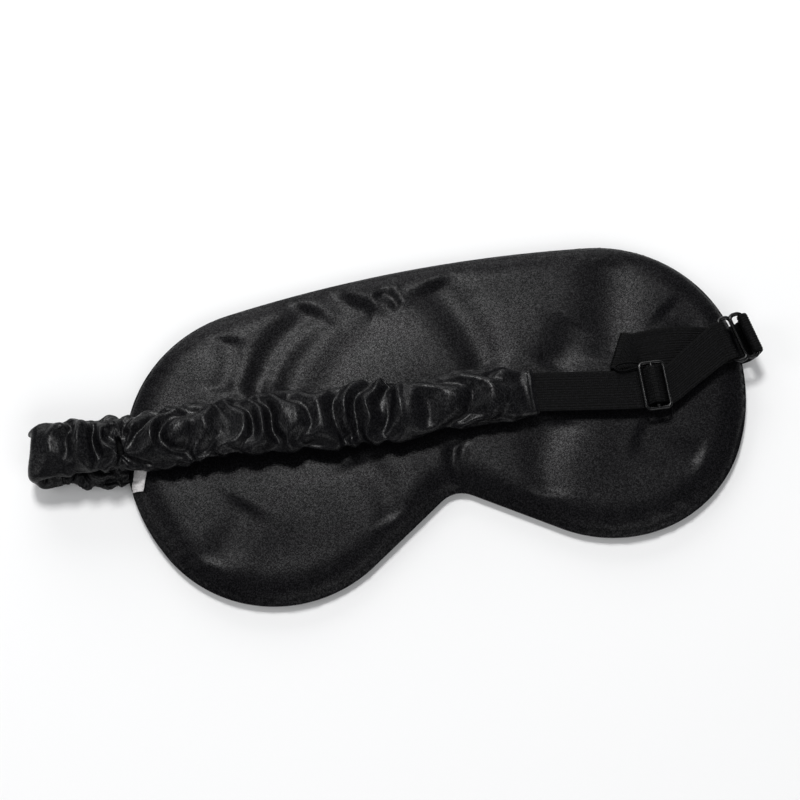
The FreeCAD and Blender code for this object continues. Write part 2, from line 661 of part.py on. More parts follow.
def export_nodes():
    os.makedirs("parts", exist_ok=True)
    for obj in nodes:
        obj.Shape.exportStep(f"parts/{obj.Label}.step")
        box = obj.Shape.BoundBox
        print(f"{obj.Label:20s} {obj.Shape.Volume:10.1f} mm3  x {box.XMin:7.1f} {box.XMax:7.1f}"
              f"  y {box.YMin:6.1f} {box.YMax:6.1f}  z {box.ZMin:5.2f} {box.ZMax:5.2f}")


build_mask()
build_label()
build_sleeve()
build_elastic()
build_webbing()
build_anchor_tab()
build_rim_tacks()
build_slider_and_ring()
check_document()
export_nodes()
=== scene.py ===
"""Looks of a satin sleep eye mask lying front down, its ruched strap folded over its back.

Metres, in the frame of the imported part: +X to the adjuster end, +Y to the forehead edge, +Z up.
Shapes are numpy grids; the panels and the ruched sleeve are settled as cloth before use.
"""
import math

import bmesh
import bpy
import numpy as np
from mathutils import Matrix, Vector
from mathutils.geometry import delaunay_2d_cdt


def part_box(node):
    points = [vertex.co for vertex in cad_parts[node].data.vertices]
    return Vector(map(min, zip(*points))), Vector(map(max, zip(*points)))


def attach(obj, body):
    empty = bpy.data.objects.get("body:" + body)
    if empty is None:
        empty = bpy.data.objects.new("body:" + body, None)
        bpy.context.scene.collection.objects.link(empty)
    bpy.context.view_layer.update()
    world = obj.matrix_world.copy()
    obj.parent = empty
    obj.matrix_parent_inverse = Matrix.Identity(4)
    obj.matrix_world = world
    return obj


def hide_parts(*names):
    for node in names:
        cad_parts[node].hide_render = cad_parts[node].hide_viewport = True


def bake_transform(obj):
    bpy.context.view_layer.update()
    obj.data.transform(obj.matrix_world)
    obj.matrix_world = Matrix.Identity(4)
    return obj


MM = 0.001
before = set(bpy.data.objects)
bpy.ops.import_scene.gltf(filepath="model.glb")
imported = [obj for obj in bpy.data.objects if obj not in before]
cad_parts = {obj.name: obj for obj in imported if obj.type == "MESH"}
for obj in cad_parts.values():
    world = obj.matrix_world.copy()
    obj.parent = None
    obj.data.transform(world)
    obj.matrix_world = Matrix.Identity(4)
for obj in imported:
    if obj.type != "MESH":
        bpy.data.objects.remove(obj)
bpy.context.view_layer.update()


def node_box(node):
    """Lowest and highest corner of a node, as numpy arrays."""
    low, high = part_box(node)
    return np.array(low), np.array(high)


# ---- driving places, from the frame ----------------------

HALF_WIDTH, HALF_HEIGHT, _ = node_box("front_panel")[1]
MASK_TOP = node_box("back_panel")[1][2]
RIM_Z = 2.4 * MM                   # height of the seam above the surface it lies on

# the outline's arcs
CROWN_RADIUS = 488 * MM
SHOULDER_RADIUS = 48.6 * MM
LOBE_RADIUS = 46.8 * MM
LOBE_INSET = 49.8 * MM
NOSE_DEPTH = 26.4 * MM
NOSE_RADIUS = 9.3 * MM

# the strap
TAPE = 1.0 * MM
TAPE_WIDTH = 14.0 * MM
WIRE = 0.7 * MM
RING_LOW, RING_HIGH = node_box("ring")
RING_MIDDLE = (RING_LOW + RING_HIGH) / 2
SLIDER_LOW, SLIDER_HIGH = node_box("slider")
SLIDER_MIDDLE = (SLIDER_LOW + SLIDER_HIGH) / 2
RING_YAW = math.radians(8)
SLIDER_YAW = math.radians(-4)
RING_PITCH = 4.4 * MM
SLIDER_PITCH = 4.1 * MM
HALF_SPAN = 8.2 * MM               # middle of the ring and slider to the wire of their long ends
BAR_LIFT = 1.5 * MM                # middle of a bar to the middle of a tape that passes it
FEED_Z = RING_MIDDLE[2] + BAR_LIFT
RETURN_Z = RING_MIDDLE[2] - BAR_LIFT
UPPER_LOW, UPPER_HIGH = node_box("sleeve_upper_run")
FOLD_AXIS = np.array([UPPER_LOW[0] + 0.6 * MM, 10.5 * MM])
CUFF = np.array([33.0 * MM, -2.0 * MM])
SLEEVE_Z = (UPPER_LOW[2] + UPPER_HIGH[2]) / 2
LOWER_Z = (node_box("sleeve_lower_run")[0][2] + node_box("sleeve_lower_run")[1][2]) / 2


# ---- mesh helpers ----------------------------------------

def mesh_piece(name, points, faces, smooth=True, uv=None):
    """A mesh object at the origin, from an (n, 3) array and lists of vertex numbers."""
    mesh = bpy.data.meshes.new(name)
    mesh.from_pydata(np.asarray(points, dtype=float).tolist(), [], [tuple(f) for f in faces])
    if smooth:
        mesh.polygons.foreach_set("use_smooth", np.ones(len(mesh.polygons), dtype=bool))
    if uv is not None:
        layer = mesh.uv_layers.new(name="UVMap")
        loops = np.empty(len(mesh.loops), dtype=np.int32)
        mesh.loops.foreach_get("vertex_index", loops)
        layer.data.foreach_set("uv", np.asarray(uv, dtype=np.float32)[loops].ravel())
    mesh.update()
    piece = bpy.data.objects.new(name, mesh)
    bpy.context.scene.collection.objects.link(piece)
    return piece


def grid_faces(rows, columns, closed_columns=False, closed_rows=False):
    """Quads of a (rows, columns) grid of vertices, wrapped along an axis where it is closed."""
    row_count = rows if closed_rows else rows - 1
    column_count = columns if closed_columns else columns - 1
    r, c = np.meshgrid(np.arange(row_count), np.arange(column_count), indexing="ij")
    r1, c1 = (r + 1) % rows, (c + 1) % columns
    quads = np.stack([r * columns + c, r * columns + c1, r1 * columns + c1, r1 * columns + c], -1)
    return quads.reshape(-1, 4).tolist()


def tube_mesh(name, rings, uv=None):
    """A closed tube from an (n, m, 3) array of rings, its two ends closed with a fan each."""
    rows, columns, _ = rings.shape
    points = rings.reshape(-1, 3)
    faces = grid_faces(rows, columns, closed_columns=True)
    ends = np.array([rings[0].mean(0), rings[-1].mean(0)])
    first, last = rows * columns, rows * columns + 1
    around = np.arange(columns)
    after = (around + 1) % columns
    top = (rows - 1) * columns
    faces += [(first, b, a) for a, b in zip(around.tolist(), after.tolist())]
    faces += [(last, top + a, top + b) for a, b in zip(around.tolist(), after.tolist())]
    if uv is not None:
        flat = uv.reshape(-1, 2)
        uv = np.concatenate([flat, uv[0].mean(0)[None], uv[-1].mean(0)[None]])
    piece = mesh_piece(name, np.concatenate([points, ends]), faces, uv=uv)
    pairs = np.empty(len(piece.data.edges) * 2, dtype=np.int32)
    piece.data.edges.foreach_get("vertices", pairs)
    pairs = pairs.reshape(-1, 2)
    rim_edges = (pairs < columns).all(1) | ((pairs >= top) & (pairs < top + columns)).all(1)
    sharp = piece.data.attributes.new("sharp_edge", "BOOLEAN", "EDGE")
    sharp.data.foreach_set("value", rim_edges)
    turn_outwards(piece)
    return piece


def turn_outwards(piece):
    """Flip a closed mesh whose signed volume is negative, so that its faces point outwards."""
    mesh = piece.data
    mesh.calc_loop_triangles()
    corners = np.empty(len(mesh.loop_triangles) * 3, dtype=np.int32)
    mesh.loop_triangles.foreach_get("vertices", corners)
    spots = np.empty(len(mesh.vertices) * 3)
    mesh.vertices.foreach_get("co", spots)
    a, b, c = np.moveaxis(spots.reshape(-1, 3)[corners].reshape(-1, 3, 3), 1, 0)
    if np.einsum("ij,ij->i", a, np.cross(b, c)).sum() < 0:
        mesh.flip_normals()


def smooth_path(points, count):
    """count points on a Catmull-Rom curve through points, evenly spaced along its length.

    Each span's tangents are half the chord between its neighbours.
    """
    points = np.asarray(points, dtype=float)
    padded = np.concatenate([2 * points[:1] - points[1:2], points, 2 * points[-1:] - points[-2:-1]])
    spans = len(points) - 1
    t = np.linspace(0, spans, spans * 40 + 1)
    k = np.minimum(t.astype(int), spans - 1)
    f = (t - k)[:, None]
    p0, p1, p2, p3 = (padded[k + i] for i in range(4))
    dense = 0.5 * (2 * p1 + (p2 - p0) * f + (2 * p0 - 5 * p1 + 4 * p2 - p3) * f ** 2
                   + (3 * p1 - p0 - 3 * p2 + p3) * f ** 3)
    along = path_length(dense[:, :3])
    want = np.linspace(0, along[-1], count)
    return np.stack([np.interp(want, along, dense[:, i]) for i in range(dense.shape[1])], 1)


def unit(vectors):
    """The vectors at length 1, a zero one left as it is."""
    return vectors / np.maximum(np.linalg.norm(vectors, axis=-1, keepdims=True), 1e-12)


def path_length(points):
    """Distance along a path from its first point to each of its points."""
    steps = np.linalg.norm(np.diff(points, axis=0), axis=1)
    return np.concatenate([[0], np.cumsum(steps)])


def outward(closed):
    """Plan normals of a closed (n, 2) path that runs anticlockwise."""
    tangent = unit(np.roll(closed, -1, 0) - np.roll(closed, 1, 0))
    return np.stack([tangent[:, 1], -tangent[:, 0]], 1)


def even_loop(closed, count=None, cell=None):
    """Points evenly spaced round a closed (n, 2) path, and their distances along it."""
    looped = np.concatenate([closed, closed[:1]])
    along = path_length(looped)
    want = np.linspace(0, along[-1], count or int(along[-1] / cell), endpoint=False)
    return np.stack([np.interp(want, along, looped[:, i]) for i in (0, 1)], 1), want


def rotation(yaw):
    """Plan unit vectors along and across a direction."""
    return np.array([math.cos(yaw), math.sin(yaw)]), np.array([-math.sin(yaw), math.cos(yaw)])


def plan_point(origin, yaw, along, across=0.0):
    """The plan point at distances along and across a direction from an origin."""
    u, v = rotation(yaw)
    return np.asarray(origin)[:2] + u * along + v * across


def value_noise(points, cell, seed):
    """Smooth noise from -1 to 1: random values on a lattice, blended with a quintic fade."""
    rng = np.random.default_rng(seed)
    table = rng.uniform(-1, 1, (64, 64, 64))
    scaled = np.asarray(points) / cell
    base = np.floor(scaled).astype(int)
    f = scaled - base
    f = f ** 3 * (f * (f * 6 - 15) + 10)
    total = np.zeros(scaled.shape[:-1])
    for dx in (0, 1):
        for dy in (0, 1):
            for dz in (0, 1):
                weight = (np.where(dx, f[..., 0], 1 - f[..., 0])
                          * np.where(dy, f[..., 1], 1 - f[..., 1])
                          * np.where(dz, f[..., 2], 1 - f[..., 2]))
                corner = (base + (dx, dy, dz)) % 64
                total += weight * table[corner[..., 0], corner[..., 1], corner[..., 2]]
    return total


# ---- cloth -----------------------------------------------

SIM_SCALE = 10.0                   # cloth is settled ten times as large, where its solver is sound


def settle(piece, rest, pinned, colliders, frames, bending, tension, pressure=0.0, self_gap=0.0):
    """Settle a piece as cloth and leave the result in its mesh, with no modifier.

    rest is the array of points that sets its threads' lengths, pinned the weight of each
    point that stays. Everything is scaled up by SIM_SCALE while it settles.
    """
    scene = bpy.context.scene
    mesh = piece.data
    count = len(mesh.vertices)
    start = np.empty(count * 3)
    mesh.vertices.foreach_get("co", start)
    mesh.vertices.foreach_set("co", start * SIM_SCALE)
    piece.shape_key_add(name="start", from_mix=False)
    key = piece.shape_key_add(name="cut", from_mix=False)
    key.data.foreach_set("co", (np.asarray(rest) * SIM_SCALE).ravel())
    key.value = 0.0
    group = piece.vertex_groups.new(name="pinned")
    for number in np.flatnonzero(pinned > 0).tolist():
        group.add([number], float(pinned[number]), "REPLACE")
    solid = []
    for collider in colliders:
        spots = np.empty(len(collider.data.vertices) * 3)
        collider.data.vertices.foreach_get("co", spots)
        collider.data.vertices.foreach_set("co", spots * SIM_SCALE)
        collider.modifiers.new("collide", "COLLISION")
        collider.collision.thickness_outer = 0.004
        collider.collision.thickness_inner = 0.02
        collider.collision.cloth_friction = 5.0
        solid.append((collider, spots))
    cloth = piece.modifiers.new("cloth", "CLOTH")
    how = cloth.settings
    how.rest_shape_key = key
    how.vertex_group_mass = "pinned"
    how.quality = 6
    how.mass = 0.15
    how.tension_stiffness = tension
    how.compression_stiffness = tension
    how.shear_stiffness = tension / 4
    how.bending_stiffness = bending
    how.tension_damping = how.compression_damping = 8
    how.shear_damping = 8
    how.bending_damping = 0.5
    how.air_damping = 2.0
    how.effector_weights.gravity = 0.0
    how.use_pressure = pressure != 0
    how.uniform_pressure_force = pressure
    hits = cloth.collision_settings
    hits.use_collision = bool(colliders)
    hits.distance_min = 0.006
    hits.collision_quality = 3
    hits.use_self_collision = self_gap > 0
    hits.self_distance_min = self_gap * SIM_SCALE
    cloth.point_cache.frame_start = 1
    cloth.point_cache.frame_end = frames
    for number in range(1, frames + 1):
        scene.frame_set(number)
    settled = piece.evaluated_get(bpy.context.evaluated_depsgraph_get()).data
    spots = np.empty(count * 3)
    settled.vertices.foreach_get("co", spots)
    piece.modifiers.remove(cloth)
    piece.shape_key_clear()
    piece.vertex_groups.remove(group)
    mesh.vertices.foreach_set("co", spots / SIM_SCALE)
    mesh.update()
    for collider, saved in solid:
        collider.modifiers.clear()
        collider.data.vertices.foreach_set("co", saved)
        collider.data.update()
    scene.frame_set(1)
    return spots.reshape(-1, 3) / SIM_SCALE


# ---- the mask's outline ----------------------------------

def outline_height(x):
    """Top and bottom edge of the mask at each x, from its arcs and the flank's straight line."""
    x = np.abs(x)
    crown_y = HALF_HEIGHT - CROWN_RADIUS
    shoulder_x = HALF_WIDTH - SHOULDER_RADIUS
    shoulder_y = crown_y + math.sqrt((CROWN_RADIUS - SHOULDER_RADIUS) ** 2 - shoulder_x ** 2)
    lobe_x = HALF_WIDTH - LOBE_INSET
    lobe_y = LOBE_RADIUS - HALF_HEIGHT
    rise = shoulder_y - lobe_y
    side_radius = ((LOBE_RADIUS ** 2 - LOBE_INSET ** 2 - rise ** 2)
                   / (2 * (LOBE_RADIUS - LOBE_INSET)))
    side_x = HALF_WIDTH - side_radius
    nose_y = NOSE_DEPTH - HALF_HEIGHT - NOSE_RADIUS
    reach = math.hypot(lobe_x, lobe_y - nose_y)
    normal = math.atan2(lobe_y - nose_y, lobe_x) + math.acos((NOSE_RADIUS + LOBE_RADIUS) / reach)
    crown_end = CROWN_RADIUS * shoulder_x / (CROWN_RADIUS - SHOULDER_RADIUS)
    side_turn = math.atan2(lobe_y - shoulder_y, lobe_x - side_x)
    side_end = side_x + side_radius * math.cos(side_turn)
    flank_out = lobe_x - LOBE_RADIUS * math.cos(normal)
    flank_in = NOSE_RADIUS * math.cos(normal)
    flank_in_y = nose_y + NOSE_RADIUS * math.sin(normal)

    def circle(centre_x, centre_y, radius, side):
        """Height of an arc at each x, on its upper (1) or lower (-1) side."""
        return centre_y + side * np.sqrt(np.maximum(radius ** 2 - (x - centre_x) ** 2, 0))

    top = np.where(x < crown_end, circle(0, crown_y, CROWN_RADIUS, 1),
                   circle(shoulder_x, shoulder_y, SHOULDER_RADIUS, 1))
    flank = flank_in_y - (x - flank_in) / math.tan(normal)
    bottom = np.select([x < flank_in, x < flank_out, x < side_end],
                       [circle(0, nose_y, NOSE_RADIUS, 1), flank,
                        circle(lobe_x, lobe_y, LOBE_RADIUS, -1)],
                       circle(side_x, shoulder_y, side_radius, -1))
    return top, bottom


def outline_points(count=900):
    """Closed outline as an (n, 2) array, dense at the two sides."""
    x = HALF_WIDTH * np.cos(np.linspace(0, math.pi, count // 2, endpoint=False))
    top, _ = outline_height(x)
    _, bottom = outline_height(-x)
    return np.concatenate([np.stack([x, top], 1), np.stack([-x, bottom], 1)])


def rim_distance(points, outline):
    """Distance of each plan point to the outline's nearest point."""
    flat = points.reshape(-1, 2)
    best = np.full(len(flat), np.inf)
    for chunk in np.array_split(outline, 12):
        gap = ((flat[:, None, :] - chunk[None]) ** 2).sum(-1).min(1)
        best = np.minimum(best, gap)
    return np.sqrt(best).reshape(points.shape[:-1])


def plan_mesh(cell, inset=0.0):
    """Triangles over the mask's plan, drawn in by inset: an even lattice joined to the outline.

    Returns the points, their triangles and which of them lie on the outline, in order round it.
    """
    closed = outline_points(2400)
    edge, _ = even_loop(closed - inset * outward(closed), cell=cell)
    rows = np.arange(-HALF_HEIGHT, HALF_HEIGHT, cell * math.sqrt(3) / 2)
    lattice = []
    for number, y in enumerate(rows):
        x = np.arange(-HALF_WIDTH, HALF_WIDTH, cell) + (number % 2) * cell / 2
        lattice.append(np.stack([x, np.full_like(x, y)], 1))
    lattice = np.concatenate(lattice)
    top, bottom = outline_height(np.clip(lattice[:, 0], -HALF_WIDTH, HALF_WIDTH))
    inside = (lattice[:, 1] < top) & (lattice[:, 1] > bottom)
    lattice = lattice[inside & (rim_distance(lattice, outline_points(1600)) > inset + 0.6 * cell)]
    spots = [Vector(p) for p in np.concatenate([edge, lattice]).tolist()]
    made = delaunay_2d_cdt(spots, [], [list(range(len(edge)))], 1, 1e-7, True)
    points = np.array([tuple(p) for p in made[0]])
    order = np.full(len(edge), -1)
    for number, sources in enumerate(made[3]):
        for source in sources:
            if source < len(edge):
                order[source] = number
    faces = np.array(made[2])
    middle = points[faces].mean(1)
    top, bottom = outline_height(middle[:, 0])
    kept = ((middle[:, 1] < top) & (middle[:, 1] > bottom)
            & (rim_distance(middle, outline_points(1600)) > inset - 0.1 * MM))
    return points, faces[kept].tolist(), order


def closed_shell(name, upper, lower, triangles, order):
    """A closed piece between two (n, 3) surfaces of the same triangles, its UV the plan."""
    count = len(upper)
    faces = triangles + [[count + i for i in reversed(f)] for f in triangles]
    after = np.roll(order, -1)
    faces += [(a, b, b + count, a + count) for a, b in zip(order.tolist(), after.tolist())]
    piece = mesh_piece(name, np.concatenate([upper, lower]), faces,
                       uv=np.concatenate([upper[:, :2]] * 2))
    turn_outwards(piece)
    return piece


def plan_shell(name, plan, triangles, order, upper, lower):
    """A closed sheet between two height arrays over the same plan mesh."""
    return closed_shell(name, np.column_stack([plan, upper]), np.column_stack([plan, lower]),
                        triangles, order)


def shell_from_sheet(name, sheet, triangles, order, thickness):
    """A closed sheet of even thickness whose outer face is the given (n, 3) surface."""
    faces = np.array(triangles)
    a, b, c = sheet[faces[:, 0]], sheet[faces[:, 1]], sheet[faces[:, 2]]
    flat = np.cross(b - a, c - a)
    normal = np.zeros_like(sheet)
    for corner in range(3):
        np.add.at(normal, faces[:, corner], flat)
    normal = unit(normal)
    if normal[:, 2].mean() * thickness < 0:
        normal = -normal
    return closed_shell(name, sheet, sheet - normal * abs(thickness), triangles, order)


def puff(distance, width, power):
    """Height share by distance from the rim: a superellipse quarter, 0 at the rim, 1 inside."""
    t = np.clip(distance / width, 0, 1)
    return (1 - (1 - t) ** power) ** (1 / power)


def groove(plan, start, end, width, bow=0.0):
    """A soft furrow along a bowed line: 1 on the line, a bell curve across, faded at its ends."""
    start, end = np.array(start) * MM, np.array(end) * MM
    run = end - start
    length = np.hypot(*run)
    u = run / length
    along = (plan - start) @ u / length
    across = (plan - start) @ np.array([-u[1], u[0]])
    across = across - bow * MM * 4 * along * (1 - along)
    fade = np.clip(1.15 - np.abs(along - 0.5) * 2, 0, 0.3) / 0.3
    fade = fade * fade * (3 - 2 * fade)
    taper = 1.2 - 0.3 * np.clip(along, 0, 1)
    return fade * np.exp(-(across / (width * MM * taper)) ** 2)


FURROW_DEPTH = 1.85                # a furrow's depth before it settles, for each listed one
FURROW_WIDTH = 1.15                # and its width
# furrows of the top panel: start, end (mm), half width, bow, depth (mm)
FURROWS = [
    ((-20, 46), (-49, 15), 8.0, -3, 1.15), ((-36, 46), (-60, 17), 6.0, -4, 0.95),
    ((70, 42), (61, 8), 8.0, 0, 0.7),
    ((-12, 46), (-6, 40), 1.6, 2, 0.5), ((8, 46), (19, 11), 6.0, 2, 0.85),
    ((-66, 40), (-72, 22), 4.0, 3, 0.45), ((3.5, -12), (2.5, -27), 1.8, -2, 0.7),
    ((-30, -12), (-24, -34), 5.0, 3, 0.5), ((38, -12), (30, -36), 5.5, -3, 0.5),
    ((52, 22), (40, 8), 5.0, 2, 0.45), ((84, 20), (94, 6), 4.0, 2, 0.5),
    ((-70, -20), (-84, -36), 5.0, 2, 0.4), ((64, -22), (82, -34), 5.0, -2, 0.4),
]
# ridges: the same terms
RIDGES = [
    ((-27, 42), (-56, 14), 3.6, -6, 0.6), ((-14, 47), (-16, 36), 1.5, 1, 0.35),
    ((-5, 50), (-2, 40), 1.4, -2, 0.4), ((5.5, -14), (4.5, -28), 1.2, -2, 0.5),
    ((-44, 46), (-66, 20), 4.2, -3, 0.45),
]


def folds_of(plan, distance):
    """Height of the top panel's furrows, ridges and rim puckers above its smooth puff."""
    height = np.zeros(len(plan))
    for start, end, width, bow, depth in FURROWS:
        height -= FURROW_DEPTH * depth * MM * groove(plan, start, end, FURROW_WIDTH * width, bow)
    for start, end, width, bow, depth in RIDGES:
        height += depth * MM * groove(plan, start, end, width, bow)
    spread = np.column_stack([plan, np.zeros(len(plan))])
    height += 0.35 * MM * value_noise(spread, 22 * MM, 3)
    turn = np.arctan2(plan[:, 1], plan[:, 0] * 0.5)
    pucker = np.sin(turn * 90 + 5 * value_noise(spread, 25 * MM, 5))
    strength = np.clip(value_noise(spread, 30 * MM, 9) + 0.35, 0, 1)
    band = np.exp(-((distance - 4 * MM) / (3.2 * MM)) ** 2)
    height += 0.16 * MM * pucker * strength * band
    return height * np.clip(distance / (3 * MM), 0, 1)


# ---- the mask --------------------------------------------

def surface_height(points, sheet):
    """Height of the nearest vertex of a sheet under each plan point."""
    flat = np.asarray(points).reshape(-1, 2)
    gap = ((flat[:, None] - sheet[None, :, :2]) ** 2).sum(-1)
    return sheet[gap.argmin(1), 2].reshape(np.asarray(points).shape[:-1])


CELL = 1.35 * MM
SEAM_HALF = 0.42 * MM
SATIN = 0.3 * MM

plan, triangles, order = plan_mesh(CELL)
rim = rim_distance(plan, outline_points(2400))
rim[order] = 0
crown = MASK_TOP - 0.15 * MM
rise = puff(rim, 11 * MM, 2.0)
top_z = RIM_Z + SEAM_HALF + (crown - RIM_Z - SEAM_HALF) * rise + folds_of(plan, rim)
top_z = np.minimum(top_z, MASK_TOP + 0.6 * MM)
front_z = (RIM_Z - SEAM_HALF) * (1 - puff(rim, 9 * MM, 2.0)) + 0.02 * MM

top_sheet = np.column_stack([plan, top_z])
hold = np.full(len(plan), 0.12)
hold[rim < 2.0 * MM] = 1.0
loose = mesh_piece("loose", top_sheet, triangles)
rest = top_sheet * (1.014, 1.012, 1.0)
top_sheet = settle(loose, rest, hold, [], 18, bending=8.0, tension=15.0)
bpy.data.objects.remove(loose)
back_satin = shell_from_sheet("back_satin", top_sheet, triangles, order, SATIN)
front_sheet = np.column_stack([plan, front_z])
front_satin = shell_from_sheet("front_satin", front_sheet, triangles, order, -SATIN)

inner_plan, inner_triangles, inner_order = plan_mesh(3.0 * MM, 5.8 * MM)
inner_rim = rim_distance(inner_plan, outline_points(1600))
settled_top = surface_height(inner_plan, top_sheet) - 0.9 * MM
middle_z = np.full(len(inner_plan), RIM_Z + 0.9 * MM)
back_pad = plan_shell("back_pad", inner_plan, inner_triangles, inner_order,
                      np.maximum(settled_top, middle_z + 0.4 * MM), middle_z + 0.25 * MM)
front_pad = plan_shell("front_pad", inner_plan, inner_triangles, inner_order,
                       middle_z - 0.45 * MM, np.full(len(inner_plan), 0.5 * MM)
                       + 0.5 * MM * (1 - puff(inner_rim - 5.8 * MM, 5 * MM, 2)))
lining_plan, lining_triangles, lining_order = plan_mesh(3.0 * MM, 2.4 * MM)
lining_rim = rim_distance(lining_plan, outline_points(1600))
lining_z = RIM_Z + 0.65 * MM * puff(lining_rim - 2.4 * MM, 5 * MM, 2)
blackout_lining = plan_shell("blackout_lining", lining_plan, lining_triangles, lining_order,
                             lining_z + 0.15 * MM, lining_z - 0.05 * MM)


def outline_tube(name, inset, z, radius, ripple, seed, around=10):
    """A closed ring of round section that follows the outline, with an uneven radius."""
    count = 1000
    closed = outline_points(4000)
    spot, want = even_loop(closed - outward(closed) * inset, count)
    out = outward(spot)
    turn = np.linspace(0, 2 * math.pi, around, endpoint=False)
    spread = np.column_stack([spot, np.zeros(count)])
    uneven = radius * (1 + ripple * value_noise(spread, 4 * MM, seed))
    lift = z + ripple * radius * value_noise(spread, 9 * MM, seed + 1)
    ring = np.empty((count, around, 3))
    ring[..., :2] = spot[:, None] + out[:, None] * (uneven[:, None] * np.cos(turn))[..., None]
    ring[..., 2] = lift[:, None] + uneven[:, None] * np.sin(turn)
    uv = np.stack(np.meshgrid(want, turn * radius, indexing="ij"), -1)
    piece = mesh_piece(name, ring.reshape(-1, 3),
                       grid_faces(count, around, closed_columns=True, closed_rows=True),
                       uv=uv.reshape(-1, 2))
    turn_outwards(piece)
    return piece


rim_roll = outline_tube("rim_roll", 0.62 * MM, RIM_Z, 0.62 * MM, 0.12, 21)
seam_thread = outline_tube("seam_thread", 1.45 * MM, RIM_Z, 0.16 * MM, 0.1, 23, around=6)


# ---- tapes -----------------------------------------------

def tape_section(half_width, thickness, ribs, relief):
    """Closed section of a ribbed tape as (across, up) pairs: cosine ribs on both faces."""
    steps = max(ribs * 4, 6)
    t = np.linspace(-1, 1, steps + 1)
    edge = np.clip((1 - np.abs(t)) * half_width / (thickness / 2), 0, 1)
    body = thickness / 2 * np.sqrt(1 - (1 - edge) ** 2) * 0.92 + 0.04 * thickness
    wave = relief * (np.cos(t * math.pi * ribs) - 1) / 2 if ribs else 0 * t
    top = np.stack([t * half_width, body + wave * np.minimum(edge, 1)], 1)
    bottom = np.stack([t[::-1] * half_width, -(body + wave)[::-1]], 1)
    return np.concatenate([top, bottom])


def ribbon(name, centre, across, half_width, thickness=TAPE, ribs=16, relief=0.2 * MM,
           step=0.8 * MM):
    """A tape swept along centre points, its faces square to the path and to the across vectors."""
    centre = np.asarray(centre, dtype=float)
    joined = np.concatenate([centre, np.asarray(across, dtype=float),
                             np.broadcast_to(half_width, (len(centre),))[:, None]], 1)
    length = np.linalg.norm(np.diff(centre, axis=0), axis=1).sum()
    dense = smooth_path(joined, max(int(length / step), 8))
    spot, side, half = dense[:, :3], unit(dense[:, 3:6]), dense[:, 6]
    tangent = unit(np.gradient(spot, axis=0))
    normal = unit(np.cross(tangent, side))
    section = tape_section(1.0, 1.0, ribs, relief / thickness)
    edge = tape_section(float(half.mean()), thickness, ribs, relief)
    rings = (spot[:, None] + side[:, None] * (section[None, :, 0] * half[:, None])[..., None]
             + normal[:, None] * edge[None, :, 1, None])
    along = path_length(spot)
    uv = np.stack(np.broadcast_arrays(section[None, :, 0] * half[:, None], along[:, None]), -1)
    return tube_mesh(name, rings, uv)


def level(points, z):
    """Plan points at a height, as 3-D rows."""
    points = np.atleast_2d(points)
    return np.column_stack([points, np.full(len(points), z)])


def side_of(yaw):
    """The 3-D across vector of a tape that runs in a direction."""
    return np.array([-math.sin(yaw), math.cos(yaw), 0.0])


SLIDER = SLIDER_MIDDLE[:2]
RING = RING_MIDDLE[:2]
RING_Z = RING_MIDDLE[2]
SLIDER_Z = SLIDER_MIDDLE[2]
RING_BAR = plan_point(RING, RING_YAW, -RING_PITCH)
TAB_BAR = plan_point(RING, RING_YAW, RING_PITCH)
TAIL_FOLD = RING + np.array([-41.4, 3.4]) * MM
TAIL_YAW = math.radians(-30)
TAIL_Z = RETURN_Z + BAR_LIFT
LEAD_YAW = math.atan2(SLIDER[1] - CUFF[1], SLIDER[0] - CUFF[0])
SLEEVE_YAW = math.atan2(CUFF[1] - FOLD_AXIS[1], CUFF[0] - FOLD_AXIS[0])
HALF_TAPE = TAPE_WIDTH / 2


def bar_turn(point, yaw, z, radius, start, end, steps=9):
    """Centre points of a tape round a bar: angles from +u over the top, in degrees."""
    turn = np.radians(np.linspace(start, end, steps))
    plan_spots = np.array([plan_point(point, yaw, radius * math.cos(a)) for a in turn])
    return np.column_stack([plan_spots, z + radius * np.sin(turn)])


ring_side, slider_side, lead_side = side_of(RING_YAW), side_of(SLIDER_YAW), side_of(LEAD_YAW)
feed_in = plan_point(SLIDER, SLIDER_YAW, -7.5 * MM)
feed_out = plan_point(SLIDER, SLIDER_YAW, 5.0 * MM)
near_ring = plan_point(RING_BAR, RING_YAW, -2.5 * MM)
turn_points = bar_turn(RING_BAR, RING_YAW, RING_Z, BAR_LIFT, 90, -90)
return_mid = (RING_BAR + TAIL_FOLD) / 2 + np.array([0, 0.8 * MM])
ring_out = plan_point(RING_BAR, RING_YAW, -1.8 * MM)
feed_points = np.concatenate([
    level(plan_point(CUFF, SLEEVE_YAW, -9 * MM), FEED_Z), level(CUFF, FEED_Z),
    level((CUFF + feed_in) / 2, FEED_Z), level(feed_in, FEED_Z), level(SLIDER, FEED_Z),
    level(feed_out, FEED_Z), level((feed_out + near_ring) / 2, FEED_Z),
    level(near_ring, FEED_Z), level(ring_out, FEED_Z)])
feed_sides = [side_of(SLEEVE_YAW), lead_side, lead_side, slider_side, slider_side, slider_side,
              (slider_side + ring_side) / 2, ring_side, ring_side]
webbing_feed = ribbon("feed_webbing", feed_points, feed_sides, HALF_TAPE)
return_points = np.concatenate([
    level(ring_out, RETURN_Z), level(near_ring, RETURN_Z), level(return_mid, RETURN_Z),
    level(plan_point(TAIL_FOLD, TAIL_YAW, 1.5 * MM), RETURN_Z)])
webbing_return = ribbon("return_webbing", return_points,
                        [ring_side, ring_side, side_of(math.radians(-9)),
                         side_of(math.radians(-16))], HALF_TAPE)
loop_start = plan_point(RING_BAR, RING_YAW, -3.4 * MM)
ring_turn = np.concatenate([level(loop_start, FEED_Z), turn_points, level(loop_start, RETURN_Z)])
